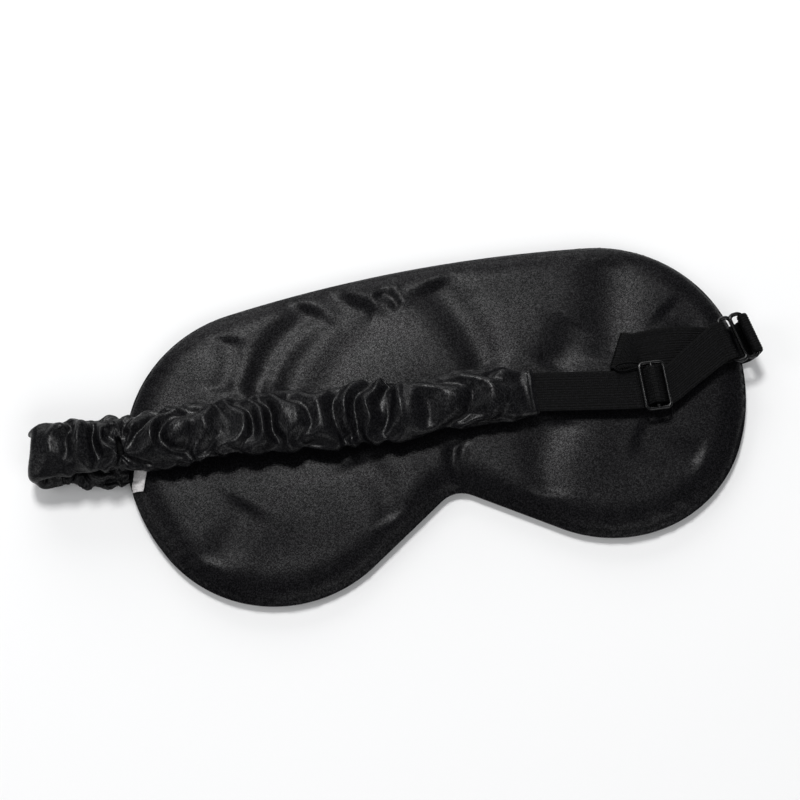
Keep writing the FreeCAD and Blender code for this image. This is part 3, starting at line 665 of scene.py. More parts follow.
ring_webbing = ribbon("ring_webbing", ring_turn, [ring_side] * len(ring_turn),
                      HALF_TAPE + 0.06 * MM, thickness=TAPE + 0.06 * MM, step=0.4 * MM)

hump_u = np.linspace(-5.2, 5.2, 13) * MM
hump_rise = 3.4 * MM * (0.5 + 0.5 * np.cos(np.clip(np.abs(hump_u) / (4.6 * MM), 0, 1) * math.pi))
hump_points = np.column_stack([[plan_point(SLIDER, SLIDER_YAW, u) for u in hump_u],
                               FEED_Z + 0.12 * MM + hump_rise])
webbing_hump = ribbon("webbing_hump", hump_points, [slider_side] * len(hump_u),
                      HALF_TAPE - 0.5 * MM, step=0.35 * MM)

fold_radius = (TAIL_Z - RETURN_Z) / 2
tail_side = side_of(TAIL_YAW)
tail_turn = bar_turn(TAIL_FOLD, TAIL_YAW, (TAIL_Z + RETURN_Z) / 2, fold_radius, -90, -270)
stub_end = TAIL_FOLD + (RING_BAR - TAIL_FOLD) * 0.58
loop_turn = bar_turn(SLIDER, SLIDER_YAW, SLIDER_Z, WIRE + 0.45 * MM, -120, 200, 15)
tail_points = np.concatenate([
    level(stub_end, RETURN_Z - 0.05 * MM),
    level((stub_end + TAIL_FOLD) / 2, RETURN_Z - 0.05 * MM),
    level(plan_point(TAIL_FOLD, TAIL_YAW, 2 * MM), RETURN_Z), tail_turn,
    level(plan_point(TAIL_FOLD, TAIL_YAW, 2 * MM), TAIL_Z),
    level((TAIL_FOLD + SLIDER) / 2, TAIL_Z),
    level(plan_point(SLIDER, SLIDER_YAW, -2.5 * MM), TAIL_Z)])
tail_sides = ([side_of(math.radians(-8)), side_of(math.radians(-14)), tail_side]
              + [tail_side] * len(tail_turn)
              + [tail_side, (tail_side + slider_side) / 2, slider_side])
webbing_tail_piece = ribbon("tail_webbing", tail_points, tail_sides, HALF_TAPE + 0.08 * MM,
                            thickness=TAPE + 0.1 * MM)
bar_wrap = ribbon("bar_wrap", loop_turn, [slider_side] * len(loop_turn), HALF_TAPE - 0.5 * MM,
                  thickness=0.6 * MM, step=0.3 * MM)

eye = np.array([(71.5, -0.6), (69.5, 0.7), (66.2, 1.7), (62.8, 1.8), (60.9, 1.0), (61.4, -0.2),
                (64.0, -0.9), (67.5, -0.7), (70.8, -0.9)]) * MM
eye_line = smooth_path(np.column_stack([eye, np.full(len(eye), FEED_Z + 1.2 * MM)]), 60)
edge_loop = ribbon("edge_loop", eye_line, [(0, 0, 1.0)] * 60, 0.55 * MM, thickness=0.5 * MM,
                   ribs=0, step=0.4 * MM)

rim_u = -RING_PITCH + (HALF_WIDTH - RING[0]) / math.cos(RING_YAW)


def tab_point(u, z):
    """A point of the tab that holds the ring: distance from its bar, and height."""
    return np.append(plan_point(TAB_BAR, RING_YAW, u), z)


tab_points = np.array(
    [tab_point(rim_u - 4 * MM, 2.2 * MM), tab_point(rim_u, 2.2 * MM),
     tab_point(rim_u + 2.0 * MM, 2.5 * MM), tab_point(0.9 * MM, 5.2 * MM),
     tab_point(1.75 * MM, RING_Z - 1.3 * MM)])
tab_points = np.concatenate([tab_points, bar_turn(TAB_BAR, RING_YAW, RING_Z, 1.5 * MM, 0, 235)])
tab_points = np.concatenate([tab_points, [tab_point(-0.1 * MM, RING_Z - 2.6 * MM),
                                          tab_point(-0.1 * MM, 5.6 * MM)]])
anchor_loop = ribbon("anchor_loop", tab_points, [ring_side] * len(tab_points),
                     HALF_TAPE + 0.2 * MM, thickness=0.9 * MM, step=0.5 * MM)


# ---- slider and ring -------------------------------------

def loop_path(centre_x, half_x, half_y, corner):
    """A rounded rectangle in plan, as an even closed path."""
    dx, dy = half_x - corner, half_y - corner
    arcs = []
    for x, y, start in ((dx, dy, 0), (-dx, dy, 90), (-dx, -dy, 180), (dx, -dy, 270)):
        turn = np.radians(np.linspace(start, start + 90, 16))
        arcs.append(np.stack([centre_x + x + corner * np.cos(turn), y + corner * np.sin(turn)], 1))
    return even_loop(np.concatenate(arcs), 160)[0]


def wire_parts(paths, bars, radius):
    """Round wire along closed plan paths and straight bars: vertices and faces in local axes."""
    around = 20
    turn = np.linspace(0, 2 * math.pi, around, endpoint=False)
    points, faces, used = [], [], 0
    for path in paths:
        ring = np.empty((len(path), around, 3))
        ring[..., :2] = (path[:, None]
                         + outward(path)[:, None] * (radius * np.cos(turn))[None, :, None])
        ring[..., 2] = radius * np.sin(turn)
        made = np.array(grid_faces(len(path), around, True, True)) + used
        points.append(ring.reshape(-1, 3))
        faces += made.tolist()
        used += len(path) * around
    for half in bars:
        y = np.linspace(-half, half, 24)
        ring = np.empty((len(y), around, 3))
        ring[..., 0] = radius * np.cos(turn)
        ring[..., 1] = y[:, None]
        ring[..., 2] = radius * np.sin(turn)
        made = np.array(grid_faces(len(y), around, True)) + used
        points.append(ring.reshape(-1, 3))
        faces += made.tolist()
        faces.append(tuple(range(used, used + around)))
        top = used + (len(y) - 1) * around
        faces.append(tuple(reversed(range(top, top + around))))
        used += len(y) * around
    return np.concatenate(points), faces


def hardware(name, paths, bars, centre, z, yaw):
    """A wire piece at a plan point, height and yaw, its faces turned outwards."""
    points, faces = wire_parts(paths, bars, WIRE)
    u, v = rotation(yaw)
    placed = np.empty_like(points)
    placed[:, :2] = centre + points[:, :1] * u + points[:, 1:2] * v
    placed[:, 2] = points[:, 2] + z
    piece = mesh_piece(name, placed, faces)
    work = bmesh.new()
    work.from_mesh(piece.data)
    bmesh.ops.recalc_face_normals(work, faces=work.faces)
    work.to_mesh(piece.data)
    work.free()
    return piece


slider_frame = hardware(
    "slider_frame", [loop_path(0, SLIDER_PITCH, HALF_SPAN, 1.5 * MM)], [HALF_SPAN],
    SLIDER, SLIDER_Z, SLIDER_YAW)
ring_frame = hardware(
    "ring_frame",
    [loop_path(side * RING_PITCH / 2, RING_PITCH / 2, HALF_SPAN, 1.75 * MM) for side in (-1, 1)],
    [], RING, RING_Z, RING_YAW)


# ---- the ruched sleeve -----------------------------------

def run_line():
    """The sleeve's centre line from the rim, round the fold, to the cuff: spots, ways across, z."""
    start = np.array([-HALF_WIDTH - 0.3 * MM, 6.5 * MM])
    lower_yaw = math.atan2(start[1] - FOLD_AXIS[1], start[0] - FOLD_AXIS[0])
    radius = (SLEEVE_Z - LOWER_Z) / 2
    lower = np.linspace(start + np.array([3.5, -0.6]) * MM, FOLD_AXIS, 30)
    z = np.full(30, LOWER_Z)
    z[:4] = np.linspace(RIM_Z + 0.2 * MM, LOWER_Z, 4)
    turn = np.linspace(0, math.pi, 14)[1:-1]
    fold = FOLD_AXIS - radius * np.sin(turn)[:, None] * np.array([1.0, 0.0])
    upper = np.linspace(FOLD_AXIS, CUFF, 160)
    spots = np.concatenate([lower, fold, upper])
    heights = np.concatenate([z, LOWER_Z + radius * (1 - np.cos(turn)), np.full(160, SLEEVE_Z)])
    across = np.concatenate([np.tile(side_of(lower_yaw), (30, 1)),
                             np.linspace(side_of(lower_yaw), side_of(SLEEVE_YAW), 12),
                             np.tile(side_of(SLEEVE_YAW), (160, 1))])
    joined = np.column_stack([spots, heights, across])
    return joined, path_length(joined[:, :3])


LINE, LINE_ALONG = run_line()
FOLD_START = LINE_ALONG[30]
FOLD_END = LINE_ALONG[42]
RUN_END = LINE_ALONG[-1]


def line_at(s):
    """Spots, across and normal vectors of the centre line at the distances s."""
    s = np.clip(s, 0, RUN_END)
    spot = np.stack([np.interp(s, LINE_ALONG, LINE[:, i]) for i in range(6)], 1)
    ahead = np.stack([np.interp(s + 0.6 * MM, LINE_ALONG, LINE[:, i]) for i in range(3)], 1)
    behind = np.stack([np.interp(s - 0.6 * MM, LINE_ALONG, LINE[:, i]) for i in range(3)], 1)
    tangent = unit(ahead - behind)
    across = unit(spot[:, 3:6])
    return spot[:, :3], across, unit(np.cross(tangent, across))


def ease(value, low, high):
    """0 below low, 1 above high, and a smoothstep between."""
    t = np.clip((value - low) / (high - low), 0, 1)
    return t * t * (3 - 2 * t)


# what the gathers are made to
GATHER = 1.6                       # length of cloth in each length of the run
WAVE, CUFF_WAVE_MORE = 9.8, 8.0    # one gather's length in mm, and what the cuff's have more
WAVE_HEIGHT = 3.3 * MM
SLEEVE_HALF, SLEEVE_HALF_THICK = 11.2 * MM, 3.0 * MM
CUFF_HALF, CUFF_HALF_THICK = 7.7 * MM, 1.0 * MM


def near_cuff(s):
    """1 in the flatter stretch before the cuff, 0 in the rest of the run."""
    return ease(s, RUN_END - 56 * MM, RUN_END - 36 * MM)


def fullness(s):
    """Length of cloth gathered into each length of the run."""
    fold = np.exp(-((s - (FOLD_START + FOLD_END) / 2 - 2 * MM) / (8.5 * MM)) ** 2)
    cuff = ease(s, RUN_END - 9 * MM, RUN_END - 2 * MM)
    under = 1 - ease(s, FOLD_START - 6 * MM, FOLD_START + 2 * MM)
    full = GATHER - 0.54 * fold - 0.42 * near_cuff(s) - 0.04 * under
    return full * (1 - cuff) + 1.05 * cuff


AROUND = 40
FABRIC_STEP = 1.15 * MM
fine = np.linspace(0, RUN_END, 4000)
fabric = np.concatenate([[0], np.cumsum(np.diff(fine) * fullness((fine[1:] + fine[:-1]) / 2))])
ROWS = int(fabric[-1] / FABRIC_STEP)
row_fabric = np.linspace(0, fabric[-1], ROWS)
row_s = np.interp(row_fabric, fabric, fine)
spot, across, normal = line_at(row_s)
angle = np.linspace(0, 2 * math.pi, AROUND, endpoint=False)
cos, sin = np.cos(angle), np.sin(angle)
flat_cos = np.sign(cos) * np.abs(cos) ** 0.8
flat_sin = np.sign(sin) * np.abs(sin) ** 0.8
along_s = np.stack([row_s, 0 * row_s, 0 * row_s], 1)
at_cuff = ease(row_s, RUN_END - 14 * MM, RUN_END - 1.0 * MM)
at_rim = 1 - ease(row_s, 0, 7 * MM)
broad = SLEEVE_HALF + 1.3 * MM * value_noise(along_s, 17 * MM, 37)
half_wide = broad * (1 - at_cuff) + CUFF_HALF * at_cuff - 2.6 * MM * at_rim
half_thick = SLEEVE_HALF_THICK * (1 - at_cuff) + CUFF_HALF_THICK * at_cuff - 1.9 * MM * at_rim
lattice = np.stack(np.broadcast_arrays(
    row_fabric[:, None], (cos * 9 * MM)[None], (sin * 9 * MM)[None]), -1)
wave_length = (WAVE + CUFF_WAVE_MORE * ease(row_s, RUN_END - 60 * MM, RUN_END - 36 * MM)
               + 2.0 * value_noise(along_s, 15 * MM, 29)) * MM
phase = np.concatenate([[0], np.cumsum(np.diff(row_s) / wave_length[1:])]) * 2 * math.pi
wander = 4.3 * value_noise(lattice * (0.8, 1.4, 1.4), 13 * MM, 31) + 1.2 * value_noise(
    lattice, 8 * MM, 33)
gather = np.sin(phase[:, None] + wander + 1.1 * np.sin(angle)[None])
height = WAVE_HEIGHT * np.sqrt(np.maximum(fullness(row_s) - 1.0, 0))[:, None]
height = height * (0.75 + 0.45 * value_noise(lattice, 16 * MM, 35))
height = height * ((1 - at_cuff) * (1 - at_rim))[:, None]
height = height * (1.1 + 0.1 * (row_s < FOLD_START) + 0.3 * near_cuff(row_s))[:, None]
grow = height * gather
below = np.where(sin < 0, 0.55, 1.0)[None]
wide = half_wide[:, None] * flat_cos + grow * cos * 0.5
thick = half_thick[:, None] * flat_sin + grow * sin * below
tube = (spot[:, None] + across[:, None] * wide[..., None] + normal[:, None] * thick[..., None])

rest_tube = np.empty((ROWS, AROUND, 3))
rest_tube[..., 0] = row_fabric[:, None]
rest_tube[..., 1] = (half_wide * 1.07)[:, None] * flat_cos
rest_tube[..., 2] = (half_thick * 1.1)[:, None] * flat_sin

strip_s = np.linspace(0, RUN_END, 160)
strip_spot, strip_across, strip_normal = line_at(strip_s)


def strip(name, spots, ways, ups, half_width, thickness):
    """A plain closed strip, of four-cornered section, used under the sleeve."""
    corner = np.array([(1, 1), (-1, 1), (-1, -1), (1, -1)])
    rings = (spots[:, None] + ways[:, None] * (corner[:, 0] * half_width)[None, :, None]
             + ups[:, None] * (corner[:, 1] * thickness / 2)[None, :, None])
    return tube_mesh(name, rings)


def slab(name, low, high):
    """A plain box between two corners in millimetres."""
    low, high = np.array(low) * MM, np.array(high) * MM
    corner = np.array([(x, y, z) for x in (0, 1) for y in (0, 1) for z in (0, 1)])
    piece = mesh_piece(name, low + corner * (high - low),
                       [(0, 1, 3, 2), (4, 6, 7, 5), (0, 4, 5, 1), (2, 3, 7, 6), (0, 2, 6, 4),
                        (1, 5, 7, 3)], smooth=False)
    turn_outwards(piece)
    return piece


core = strip("core", strip_spot, strip_across, strip_normal, 7.0 * MM, 1.2 * MM)
under = slab("under", (-104, -50, 5.0), (80, 50, 8.3))
ground = slab("ground", (-160, -50, -4), (-90, 50, 0.1))
work = mesh_piece("work", tube.reshape(-1, 3),
                  grid_faces(ROWS, AROUND, closed_columns=True))
turn_outwards(work)
hold = np.zeros((ROWS, AROUND))
hold[row_s < 2.0 * MM] = 1
hold[row_s > RUN_END - 2.2 * MM] = 1
hold[2:-2, 0] = np.maximum(hold[2:-2, 0], 0.04)
hold[2:-2, AROUND // 2] = np.maximum(hold[2:-2, AROUND // 2], 0.04)
lobe = 0.4 * np.exp(-((row_s - (FOLD_START + FOLD_END) / 2) / (7 * MM)) ** 2)
hold = np.maximum(hold, np.where(lobe > 0.05, lobe, 0)[:, None])
done = settle(work, rest_tube.reshape(-1, 3), hold.ravel(), [core, under, ground], 24,
              bending=2.5, tension=12.0, self_gap=0.35 * MM, pressure=0.8)
for helper in (work, core, under, ground):
    bpy.data.objects.remove(helper)
if np.isfinite(done).all() and np.abs(done - tube.reshape(-1, 3)).max() < 15 * MM:
    tube = done.reshape(ROWS, AROUND, 3)


def rounded(rings, passes):
    """The rings with each point averaged with its neighbours, some rows more times than others."""
    for number in range(int(np.ceil(passes.max()))):
        share = np.clip(passes - number, 0, 1)[:, None, None]
        soft = rings.copy()
        soft[1:-1] = (rings[:-2] + 2 * rings[1:-1] + rings[2:]) / 4
        soft = (np.roll(soft, 1, 1) + 2 * soft + np.roll(soft, -1, 1)) / 4
        rings = rings * (1 - share) + soft * share
    return rings


near_lobe = np.exp(-((row_s - (FOLD_START + FOLD_END) / 2 - 3 * MM) / (7.5 * MM)) ** 2)
tube = rounded(tube, 0.9 * (row_s > FOLD_END) + 2.8 * near_lobe)


def finer(rings, rows_by, around_by):
    """The same tube on a finer grid: Catmull-Rom along its rows and round its rings."""
    def spans(grid, by, closed):
        count = grid.shape[0]
        if closed:
            p = [np.roll(grid, 1 - i, 0) for i in range(4)]
        else:
            ends = np.concatenate([2 * grid[:1] - grid[1:2], grid, 2 * grid[-1:] - grid[-2:-1]])
            p = [ends[i:i + count - 1] for i in range(4)]
        out = []
        for step in range(by):
            f = step / by
            out.append(0.5 * (2 * p[1] + (p[2] - p[0]) * f
                              + (2 * p[0] - 5 * p[1] + 4 * p[2] - p[3]) * f ** 2
                              + (3 * p[1] - p[0] - 3 * p[2] + p[3]) * f ** 3))
        made = np.stack(out, 1).reshape((-1,) + grid.shape[1:])
        return made if closed else np.concatenate([made, grid[-1:]])
    rings = spans(rings, rows_by, False)
    return np.swapaxes(spans(np.swapaxes(rings, 0, 1), around_by, True), 0, 1)


split = int(np.searchsorted(row_s, FOLD_END - 1.0 * MM))
ALONG_BY, AROUND_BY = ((2, 2))
lower_rings = finer(tube[:split + 1], ALONG_BY, AROUND_BY)
upper_rings = finer(tube[split:], ALONG_BY, AROUND_BY)


def sleeve_uv(rings, start, end):
    """UV in metres of cloth: along the fabric, and round the tube."""
    rows, columns, _ = rings.shape
    u = np.linspace(row_fabric[start], row_fabric[end], rows)
    v = np.linspace(0, 50 * MM, columns)
    return np.stack(np.broadcast_arrays(u[:, None], v[None]), -1)


sleeve_lower = tube_mesh("sleeve_lower", lower_rings, sleeve_uv(lower_rings, 0, split))
sleeve_upper = tube_mesh("sleeve_upper", upper_rings, sleeve_uv(upper_rings, split, ROWS - 1))

lower_s = np.linspace(0.5 * MM, FOLD_END - 0.4 * MM, 60)
upper_s = np.linspace(FOLD_END - 0.4 * MM, RUN_END - 10 * MM, 90)


def elastic(name, s):
    """The flat elastic inside the tube, over the distances s."""
    spots, ways, _ = line_at(s)
    return ribbon(name, spots, ways, 7.5 * MM, ribs=12, relief=0.1 * MM, step=1.5 * MM)


elastic_low = elastic("elastic_low", lower_s)
elastic_up = elastic("elastic_up", upper_s)


# ---- label and tacks -------------------------------------

def zigzag(name, middle, yaw, z, length, depth, turns):
    """A row of thread stitches: a thread run to and fro across a line."""
    radius = 0.16 * MM
    count = turns * 8
    t = np.linspace(0, 1, count)
    v = (t - 0.5) * length
    u = depth / 2 * np.arcsin(np.sin(t * turns * 2 * math.pi)) * 2 / math.pi
    plan_spots = np.array([plan_point(middle, yaw, a, b) for a, b in zip(u, v)])
    centre = level(plan_spots, z)
    tangent = unit(np.gradient(centre, axis=0))
    side = unit(np.cross(tangent, (0, 0, 1.0)))
    up = np.cross(side, tangent)
    turn = np.linspace(0, 2 * math.pi, 6, endpoint=False)
    rings = (centre[:, None] + side[:, None] * (radius * np.cos(turn))[None, :, None]
             + up[:, None] * (radius * np.sin(turn))[None, :, None])
    return tube_mesh(name, rings)


def middle_of(node):
    """Centre of a node's box."""
    low, high = node_box(node)
    return (low + high) / 2


tacks = {}
for node, body, yaw, length, depth, turns, raised in (
        ("left_rim_tack", "mask", math.radians(-9), 11, 0.9, 9, 0.0),
        ("right_rim_tack", "mask", RING_YAW, 10, 0.9, 9, 0.0),
        ("tail_tack", "adjuster", SLIDER_YAW, 10, 0.9, 9, 0.15),
        ("splice_tack", None, SLEEVE_YAW, 12, 2.4, 8, 0.15),
        ("cuff_stitching", None, SLEEVE_YAW, 13.5, 0.35, 12, 0.0)):
    spot_of = middle_of(node)
    tacks[node] = (zigzag(node + "_thread", spot_of[:2], yaw, spot_of[2] + raised * MM,
                          length * MM, depth * MM, turns), body)


label_line = smooth_path(np.array([(-101.3, 1.5), (-102.4, -2.2), (-103.4, -5.2),
                                   (-104.2, -7.7)]) * MM, 24)
label_wide = 2.2 * MM
label_way = label_wide * np.array([0.95, -0.31])
local = top_sheet[(np.abs(top_sheet[:, 0] + 0.1) < 0.01) & (np.abs(top_sheet[:, 1]) < 0.02)]
label_edges = np.stack([label_line - label_way, label_line, label_line + label_way], 1)
label_z = surface_height(label_edges, local) + 0.35 * MM
label_z += np.linspace(0, 1, 24)[:, None] ** 2 * 0.9 * MM
label_top = np.concatenate([label_edges, label_z[..., None]], -1)
label_rings = np.concatenate([label_top, label_top[:, ::-1] - (0, 0, 0.14 * MM)], 1)
label_uv = np.stack(np.broadcast_arrays(
    np.array([-1, 0, 1, 1, 0, -1])[None] * label_wide,
    np.linspace(0, 12 * MM, 24)[:, None]), -1)
label_piece = tube_mesh("blank_label", label_rings, label_uv)


# ---- materials -------------------------------------------

def node_group(name, inputs, outputs):
    """A new shader group with float or vector sockets: the tree, its input and its output node."""
    tree = bpy.data.node_groups.new(name, "ShaderNodeTree")
    for label, kind, value in inputs:
        socket = tree.interface.new_socket(label, in_out="INPUT", socket_type=kind)
        if value is not None:
            socket.default_value = value
    for label, kind in outputs:
        tree.interface.new_socket(label, in_out="OUTPUT", socket_type=kind)
    return tree, tree.nodes.new("NodeGroupInput"), tree.nodes.new("NodeGroupOutput")


def node(tree, kind, inputs, output=0, **settings):
    """A shader node with its settings and inputs, each a value or a linked socket: one output."""
    made = tree.nodes.new("ShaderNode" + kind)
    for name, value in settings.items():
        setattr(made, name, value)
    for key, value in inputs.items():
        if isinstance(value, bpy.types.NodeSocket):
            tree.links.new(value, made.inputs[key])
        else:
            made.inputs[key].default_value = value
    return made.outputs[output]


def math_node(tree, operation, first, second):
    return node(tree, "Math", {0: first, 1: second}, operation=operation)


def scaled_vector(tree, vector, factors):
    return node(tree, "VectorMath", {0: vector, 1: factors}, operation="MULTIPLY")


def noise_node(tree, vector, scale, detail=2.0, roughness=0.5):
    return node(tree, "TexNoise", {"Vector": vector, "Scale": scale, "Detail": detail,
                                   "Roughness": roughness}, "Fac")


def wave_node(tree, vector, direction, scale):
    return node(tree, "TexWave", {"Vector": vector, "Scale": scale}, "Fac", wave_type="BANDS",
                bands_direction=direction, wave_profile="SIN")


def clamped(tree, value):
    """The value held between 0 and 1."""
    return math_node(tree, "MINIMUM", math_node(tree, "MAXIMUM", value, 0.0), 1.0)


def ramp(tree, value, low, high):
    """The value 0 to 1 spread between two numbers."""
    return node(tree, "MapRange", {"Value": value, "To Min": low, "To Max": high}, "Result")


def tint(tree, value, dark, light):
    """A colour between two, by a value."""
    return node(tree, "Mix", {"Factor": value, "A": (*dark, 1), "B": (*light, 1)}, "Result",
                data_type="RGBA")


def bump(tree, height, shader, distance, strength):
    """A bump normal from a height, in metres, into the shader."""
    tree.links.new(node(tree, "Bump", {"Strength": strength, "Distance": distance,
                                       "Height": height}, "Normal"), shader.inputs["Normal"])


def satin_group():
    """Satin: long floats one way, a speckle where threads catch light, and slow unevenness."""
    tree, given, made = node_group("satin_threads", [("Vector", "NodeSocketVector", None)],
                                   [("Height", "NodeSocketFloat"), ("Speckle", "NodeSocketFloat"),
                                    ("Drift", "NodeSocketFloat")])
    vector = given.outputs["Vector"]
    floats = noise_node(tree, scaled_vector(tree, vector, (1.0, 0.45, 1.0)), 5200, 1.0)
    thread = wave_node(tree, vector, "Y", 900)
    height = math_node(tree, "ADD", math_node(tree, "MULTIPLY", floats, 0.75),
                       math_node(tree, "MULTIPLY", thread, 0.25))
    cells = node(tree, "TexVoronoi", {"Vector": vector, "Scale": 3500}, "Color")
    speck = math_node(tree, "POWER", node(tree, "SeparateColor", {"Color": cells}, "Red"), 1.8)
    speck = math_node(tree, "ADD", math_node(tree, "MULTIPLY", speck, 0.72), 0.09)
    tree.links.new(height, made.inputs["Height"])
    tree.links.new(clamped(tree, speck), made.inputs["Speckle"])
    tree.links.new(noise_node(tree, vector, 42, 3.0, 0.55), made.inputs["Drift"])
    return tree


def weave_group():
    """Plain weave: two crossed sets of threads, per metre of the vector, with a slub."""
    tree, given, made = node_group(
        "plain_weave", [("Vector", "NodeSocketVector", None)],
        [("Height", "NodeSocketFloat"), ("Slub", "NodeSocketFloat")])
    vector = given.outputs["Vector"]
    warp, weft = wave_node(tree, vector, "X", 620), wave_node(tree, vector, "Y", 480)
    height = math_node(tree, "MAXIMUM", warp, weft)
    slub = noise_node(tree, scaled_vector(tree, vector, (1.0, 0.5, 1.0)), 2000, 2.0, 0.8)
    tree.links.new(math_node(tree, "ADD", height, math_node(tree, "MULTIPLY", slub, 0.4)),
                   made.inputs["Height"])
    fleck = math_node(tree, "MULTIPLY", math_node(tree, "SUBTRACT", slub, 0.5), 5.0)
    tree.links.new(clamped(tree, fleck), made.inputs["Slub"])
    return tree


def wear_group():
    """Handling marks: broad drift and fine smudges, 0 to 1."""
    tree, given, made = node_group("wear", [("Vector", "NodeSocketVector", None)],
                                   [("Smudge", "NodeSocketFloat"), ("Fine", "NodeSocketFloat")])
    tree.links.new(noise_node(tree, given.outputs["Vector"], 160, 3.0), made.inputs["Smudge"])
    tree.links.new(noise_node(tree, given.outputs["Vector"], 1800, 2.0), made.inputs["Fine"])
    return tree


SATIN_THREADS, PLAIN_WEAVE, WEAR = satin_group(), weave_group(), wear_group()


def start_material(name, group, coordinate):
    """A material with a Principled shader and one group fed by an object or UV coordinate."""
    made = bpy.data.materials.new(name)
    made.use_nodes = True
    tree = made.node_tree
    shader = tree.nodes["Principled BSDF"]
    place = tree.nodes.new("ShaderNodeTexCoord")
    pattern = tree.nodes.new("ShaderNodeGroup")
    pattern.node_tree = group
    tree.links.new(place.outputs[coordinate], pattern.inputs["Vector"])
    return made, tree, shader, pattern


def satin_material(name, dark, light, rough, shine_top):
    """Satin: roughness and shine follow its threads, and its base colour carries their speckle as
    painted glint, so it glitters finely.
    """
    made, tree, shader, threads = start_material(name, SATIN_THREADS, "UV")
    speckle, drift = threads.outputs["Speckle"], threads.outputs["Drift"]
    # base colour lighter on the speckle: painted glint where threads catch light
    tree.links.new(tint(tree, speckle, dark, light), shader.inputs["Base Color"])
    tree.links.new(ramp(tree, drift, rough - 0.05, rough + 0.05), shader.inputs["Roughness"])
    shine = math_node(tree, "MULTIPLY", speckle, math_node(tree, "ADD", drift, 0.5))
    tree.links.new(ramp(tree, shine, 0.02, shine_top), shader.inputs["Specular IOR Level"])
    bump(tree, threads.outputs["Height"], shader, 0.00003, 0.3)
    return made


def woven_material(name, dark, light, rough):
    """Plain woven cloth or tape, dull, flecked by its slubs."""
    made, tree, shader, weave = start_material(name, PLAIN_WEAVE, "UV")
    tree.links.new(tint(tree, weave.outputs["Slub"], dark, light), shader.inputs["Base Color"])
    tree.links.new(ramp(tree, weave.outputs["Slub"], rough - 0.08, rough + 0.08),
                   shader.inputs["Roughness"])
    shader.inputs["Specular IOR Level"].default_value = 0.09
    bump(tree, weave.outputs["Height"], shader, 0.00012, 0.8)
    return made


def hard_material(name, dark, light, rough):
    """Coated wire: dark, fairly glossy, smudged by handling."""
    made, tree, shader, wear = start_material(name, WEAR, "Object")
    tree.links.new(tint(tree, wear.outputs["Fine"], dark, light), shader.inputs["Base Color"])
    tree.links.new(ramp(tree, wear.outputs["Smudge"], rough - 0.05, rough + 0.09),
                   shader.inputs["Roughness"])
    shader.inputs["Specular IOR Level"].default_value = 0.3
    bump(tree, wear.outputs["Fine"], shader, 0.00001, 0.3)
    return made


MATERIALS = {
    "satin": satin_material("black_satin", (0.0012, 0.0012, 0.0015),
                            (0.0065, 0.0062, 0.0076), 0.39, 0.29),
    # the sleeve's copy of the same satin: a lighter painted glint colour and more shine, for
    # brighter sleeve highlights
    "ruched": satin_material("ruched_satin", (0.0012, 0.0012, 0.0015),
                             (0.007, 0.0068, 0.0082), 0.37, 0.42),
    "webbing": woven_material("black_webbing", (0.0002, 0.0002, 0.0003),
                              (0.0085, 0.0085, 0.0095), 0.7),
    "wadding": woven_material("grey_wadding", (0.35, 0.35, 0.35), (0.5, 0.5, 0.49), 0.95),
    "lining": woven_material("black_lining", (0.006, 0.006, 0.006), (0.014, 0.014, 0.015), 0.8),
    "thread": woven_material("black_thread", (0.002, 0.002, 0.0025), (0.008, 0.008, 0.009), 0.6),
    "label_tape": woven_material("white_label", (0.62, 0.6, 0.6), (0.86, 0.85, 0.85), 0.5),
    "coated_wire": hard_material("coated_wire", (0.001, 0.001, 0.001), (0.003, 0.003, 0.0035), 0.2),
}


def dress(piece, slot):
    """Give a piece the material of the slot it is made of, the ruched satin for the sleeve."""
    look = "ruched" if piece.name.startswith("sleeve") else slot
    piece.data.materials.clear()
    piece.data.materials.append(MATERIALS[look])


def settle_in(piece, slot, nodes, body=None, bent=None):
    """Give a piece its material, hide the nodes it stands for, and attach it to the body it moves
    with; a bent piece has its transform baked.
    """
    dress(piece, slot)
    if nodes:
        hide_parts(*nodes)
    if body:
        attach(piece, body)
    if bent:
        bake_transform(piece)


SLEEVE_BEND = (-131.0, -66.0)
FEED_BEND = (102.0, 84.5)
settle_in(back_satin, "satin", ["back_panel"], "mask")
settle_in(front_satin, "satin", ["front_panel"], "mask")
settle_in(rim_roll, "satin", [], "mask")
settle_in(seam_thread, "thread", ["rim_stitching"], "mask")
settle_in(back_pad, "wadding", ["back_wadding"], "mask")
settle_in(front_pad, "wadding", ["front_wadding"], "mask")
settle_in(blackout_lining, "lining", ["light_block_lining"], "mask")
settle_in(label_piece, "label_tape", ["care_label"], "mask")
settle_in(sleeve_lower, "satin", ["sleeve_lower_run", "sleeve_fold"], "mask")
settle_in(sleeve_upper, "satin", ["sleeve_upper_run"], bent=SLEEVE_BEND)
settle_in(elastic_low, "webbing", ["elastic_lower"], "mask")
settle_in(elastic_up, "webbing", ["elastic_upper"], bent=SLEEVE_BEND)
settle_in(webbing_feed, "webbing", ["webbing_feed"], bent=FEED_BEND)
settle_in(webbing_return, "webbing", ["webbing_return"], bent=FEED_BEND)
settle_in(ring_webbing, "webbing", [], "ring")
settle_in(edge_loop, "webbing", [], "adjuster")
settle_in(webbing_hump, "webbing", [], "adjuster")
settle_in(webbing_tail_piece, "webbing", ["webbing_tail"], "adjuster")
settle_in(bar_wrap, "webbing", [], "adjuster")
settle_in(anchor_loop, "webbing", ["anchor_tab"], "mask")
settle_in(slider_frame, "coated_wire", ["slider"], "adjuster")
settle_in(ring_frame, "coated_wire", ["ring"], "ring")
for node, (piece, body) in tacks.items():
    settle_in(piece, "thread", [node], body)
    if body is None:
        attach(piece, "strap")


# ---- floor, light and camera -----------------------------

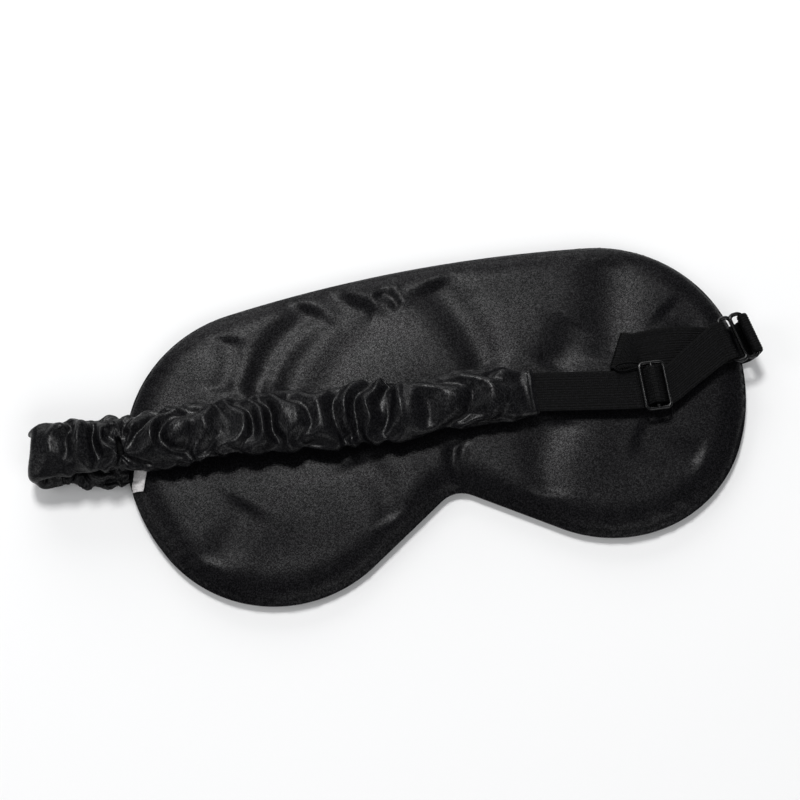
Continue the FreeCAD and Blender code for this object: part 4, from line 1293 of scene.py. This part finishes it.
scene = bpy.context.scene
floor = mesh_piece("floor", np.array([(-3, -3, 0), (3, -3, 0), (3, 3, 0), (-3, 3, 0)]),
                   [(0, 1, 2, 3)], smooth=False)
paper = bpy.data.materials.new("paper")
paper.use_nodes = True
paper.node_tree.nodes["Principled BSDF"].inputs["Base Color"].default_value = (0.9, 0.9, 0.9, 1)
paper.node_tree.nodes["Principled BSDF"].inputs["Roughness"].default_value = 0.9
paper.node_tree.nodes["Principled BSDF"].inputs["Specular IOR Level"].default_value = 0.1
floor.data.materials.append(paper)


def softbox(name, spot, aim, wide, high, power):
    """A rectangular area light at a spot, turned to its aim."""
    data = bpy.data.lights.new(name, "AREA")
    data.shape = "RECTANGLE"
    data.size, data.size_y, data.energy = wide, high, power
    lamp = bpy.data.objects.new(name, data)
    scene.collection.objects.link(lamp)
    lamp.location = spot
    way = Vector(aim) - Vector(spot)
    lamp.rotation_euler = way.to_track_quat("-Z", "Y").to_euler()
    return lamp


lamps = [softbox("key_softbox", (-0.05, 0.75, 1.35), (0, 0, 0), 0.38, 0.32, 15.5),
         softbox("back_softbox", (0, 1.7, 0.7), (0, 0, 0), 1.8, 0.8, 13.0),
         softbox("left_softbox", (-0.9, 0.1, 0.6), (0, 0, 0), 0.5, 0.5, 1.6),
         softbox("front_softbox", (0.3, -1.1, 0.9), (0, 0, 0), 1.4, 0.8, 6.8)]
world = bpy.data.worlds.new("studio")
scene.world = world
world.use_nodes = True
world.node_tree.nodes["Background"].inputs["Color"].default_value = (0.95, 0.97, 1.0, 1)
world.node_tree.nodes["Background"].inputs["Strength"].default_value = 0.2
scene.view_settings.view_transform = "Standard"

eye = bpy.data.cameras.new("eye")
eye.sensor_width = 36
eye.lens = 67.18
camera = bpy.data.objects.new("eye", eye)
scene.collection.objects.link(camera)
camera.location = (-0.0472, -0.1636, 0.4837)
camera.rotation_euler = (Vector((-0.0116, 0.0088, 0)) - camera.location).to_track_quat(
    "-Z", "Y").to_euler()
scene.camera = camera
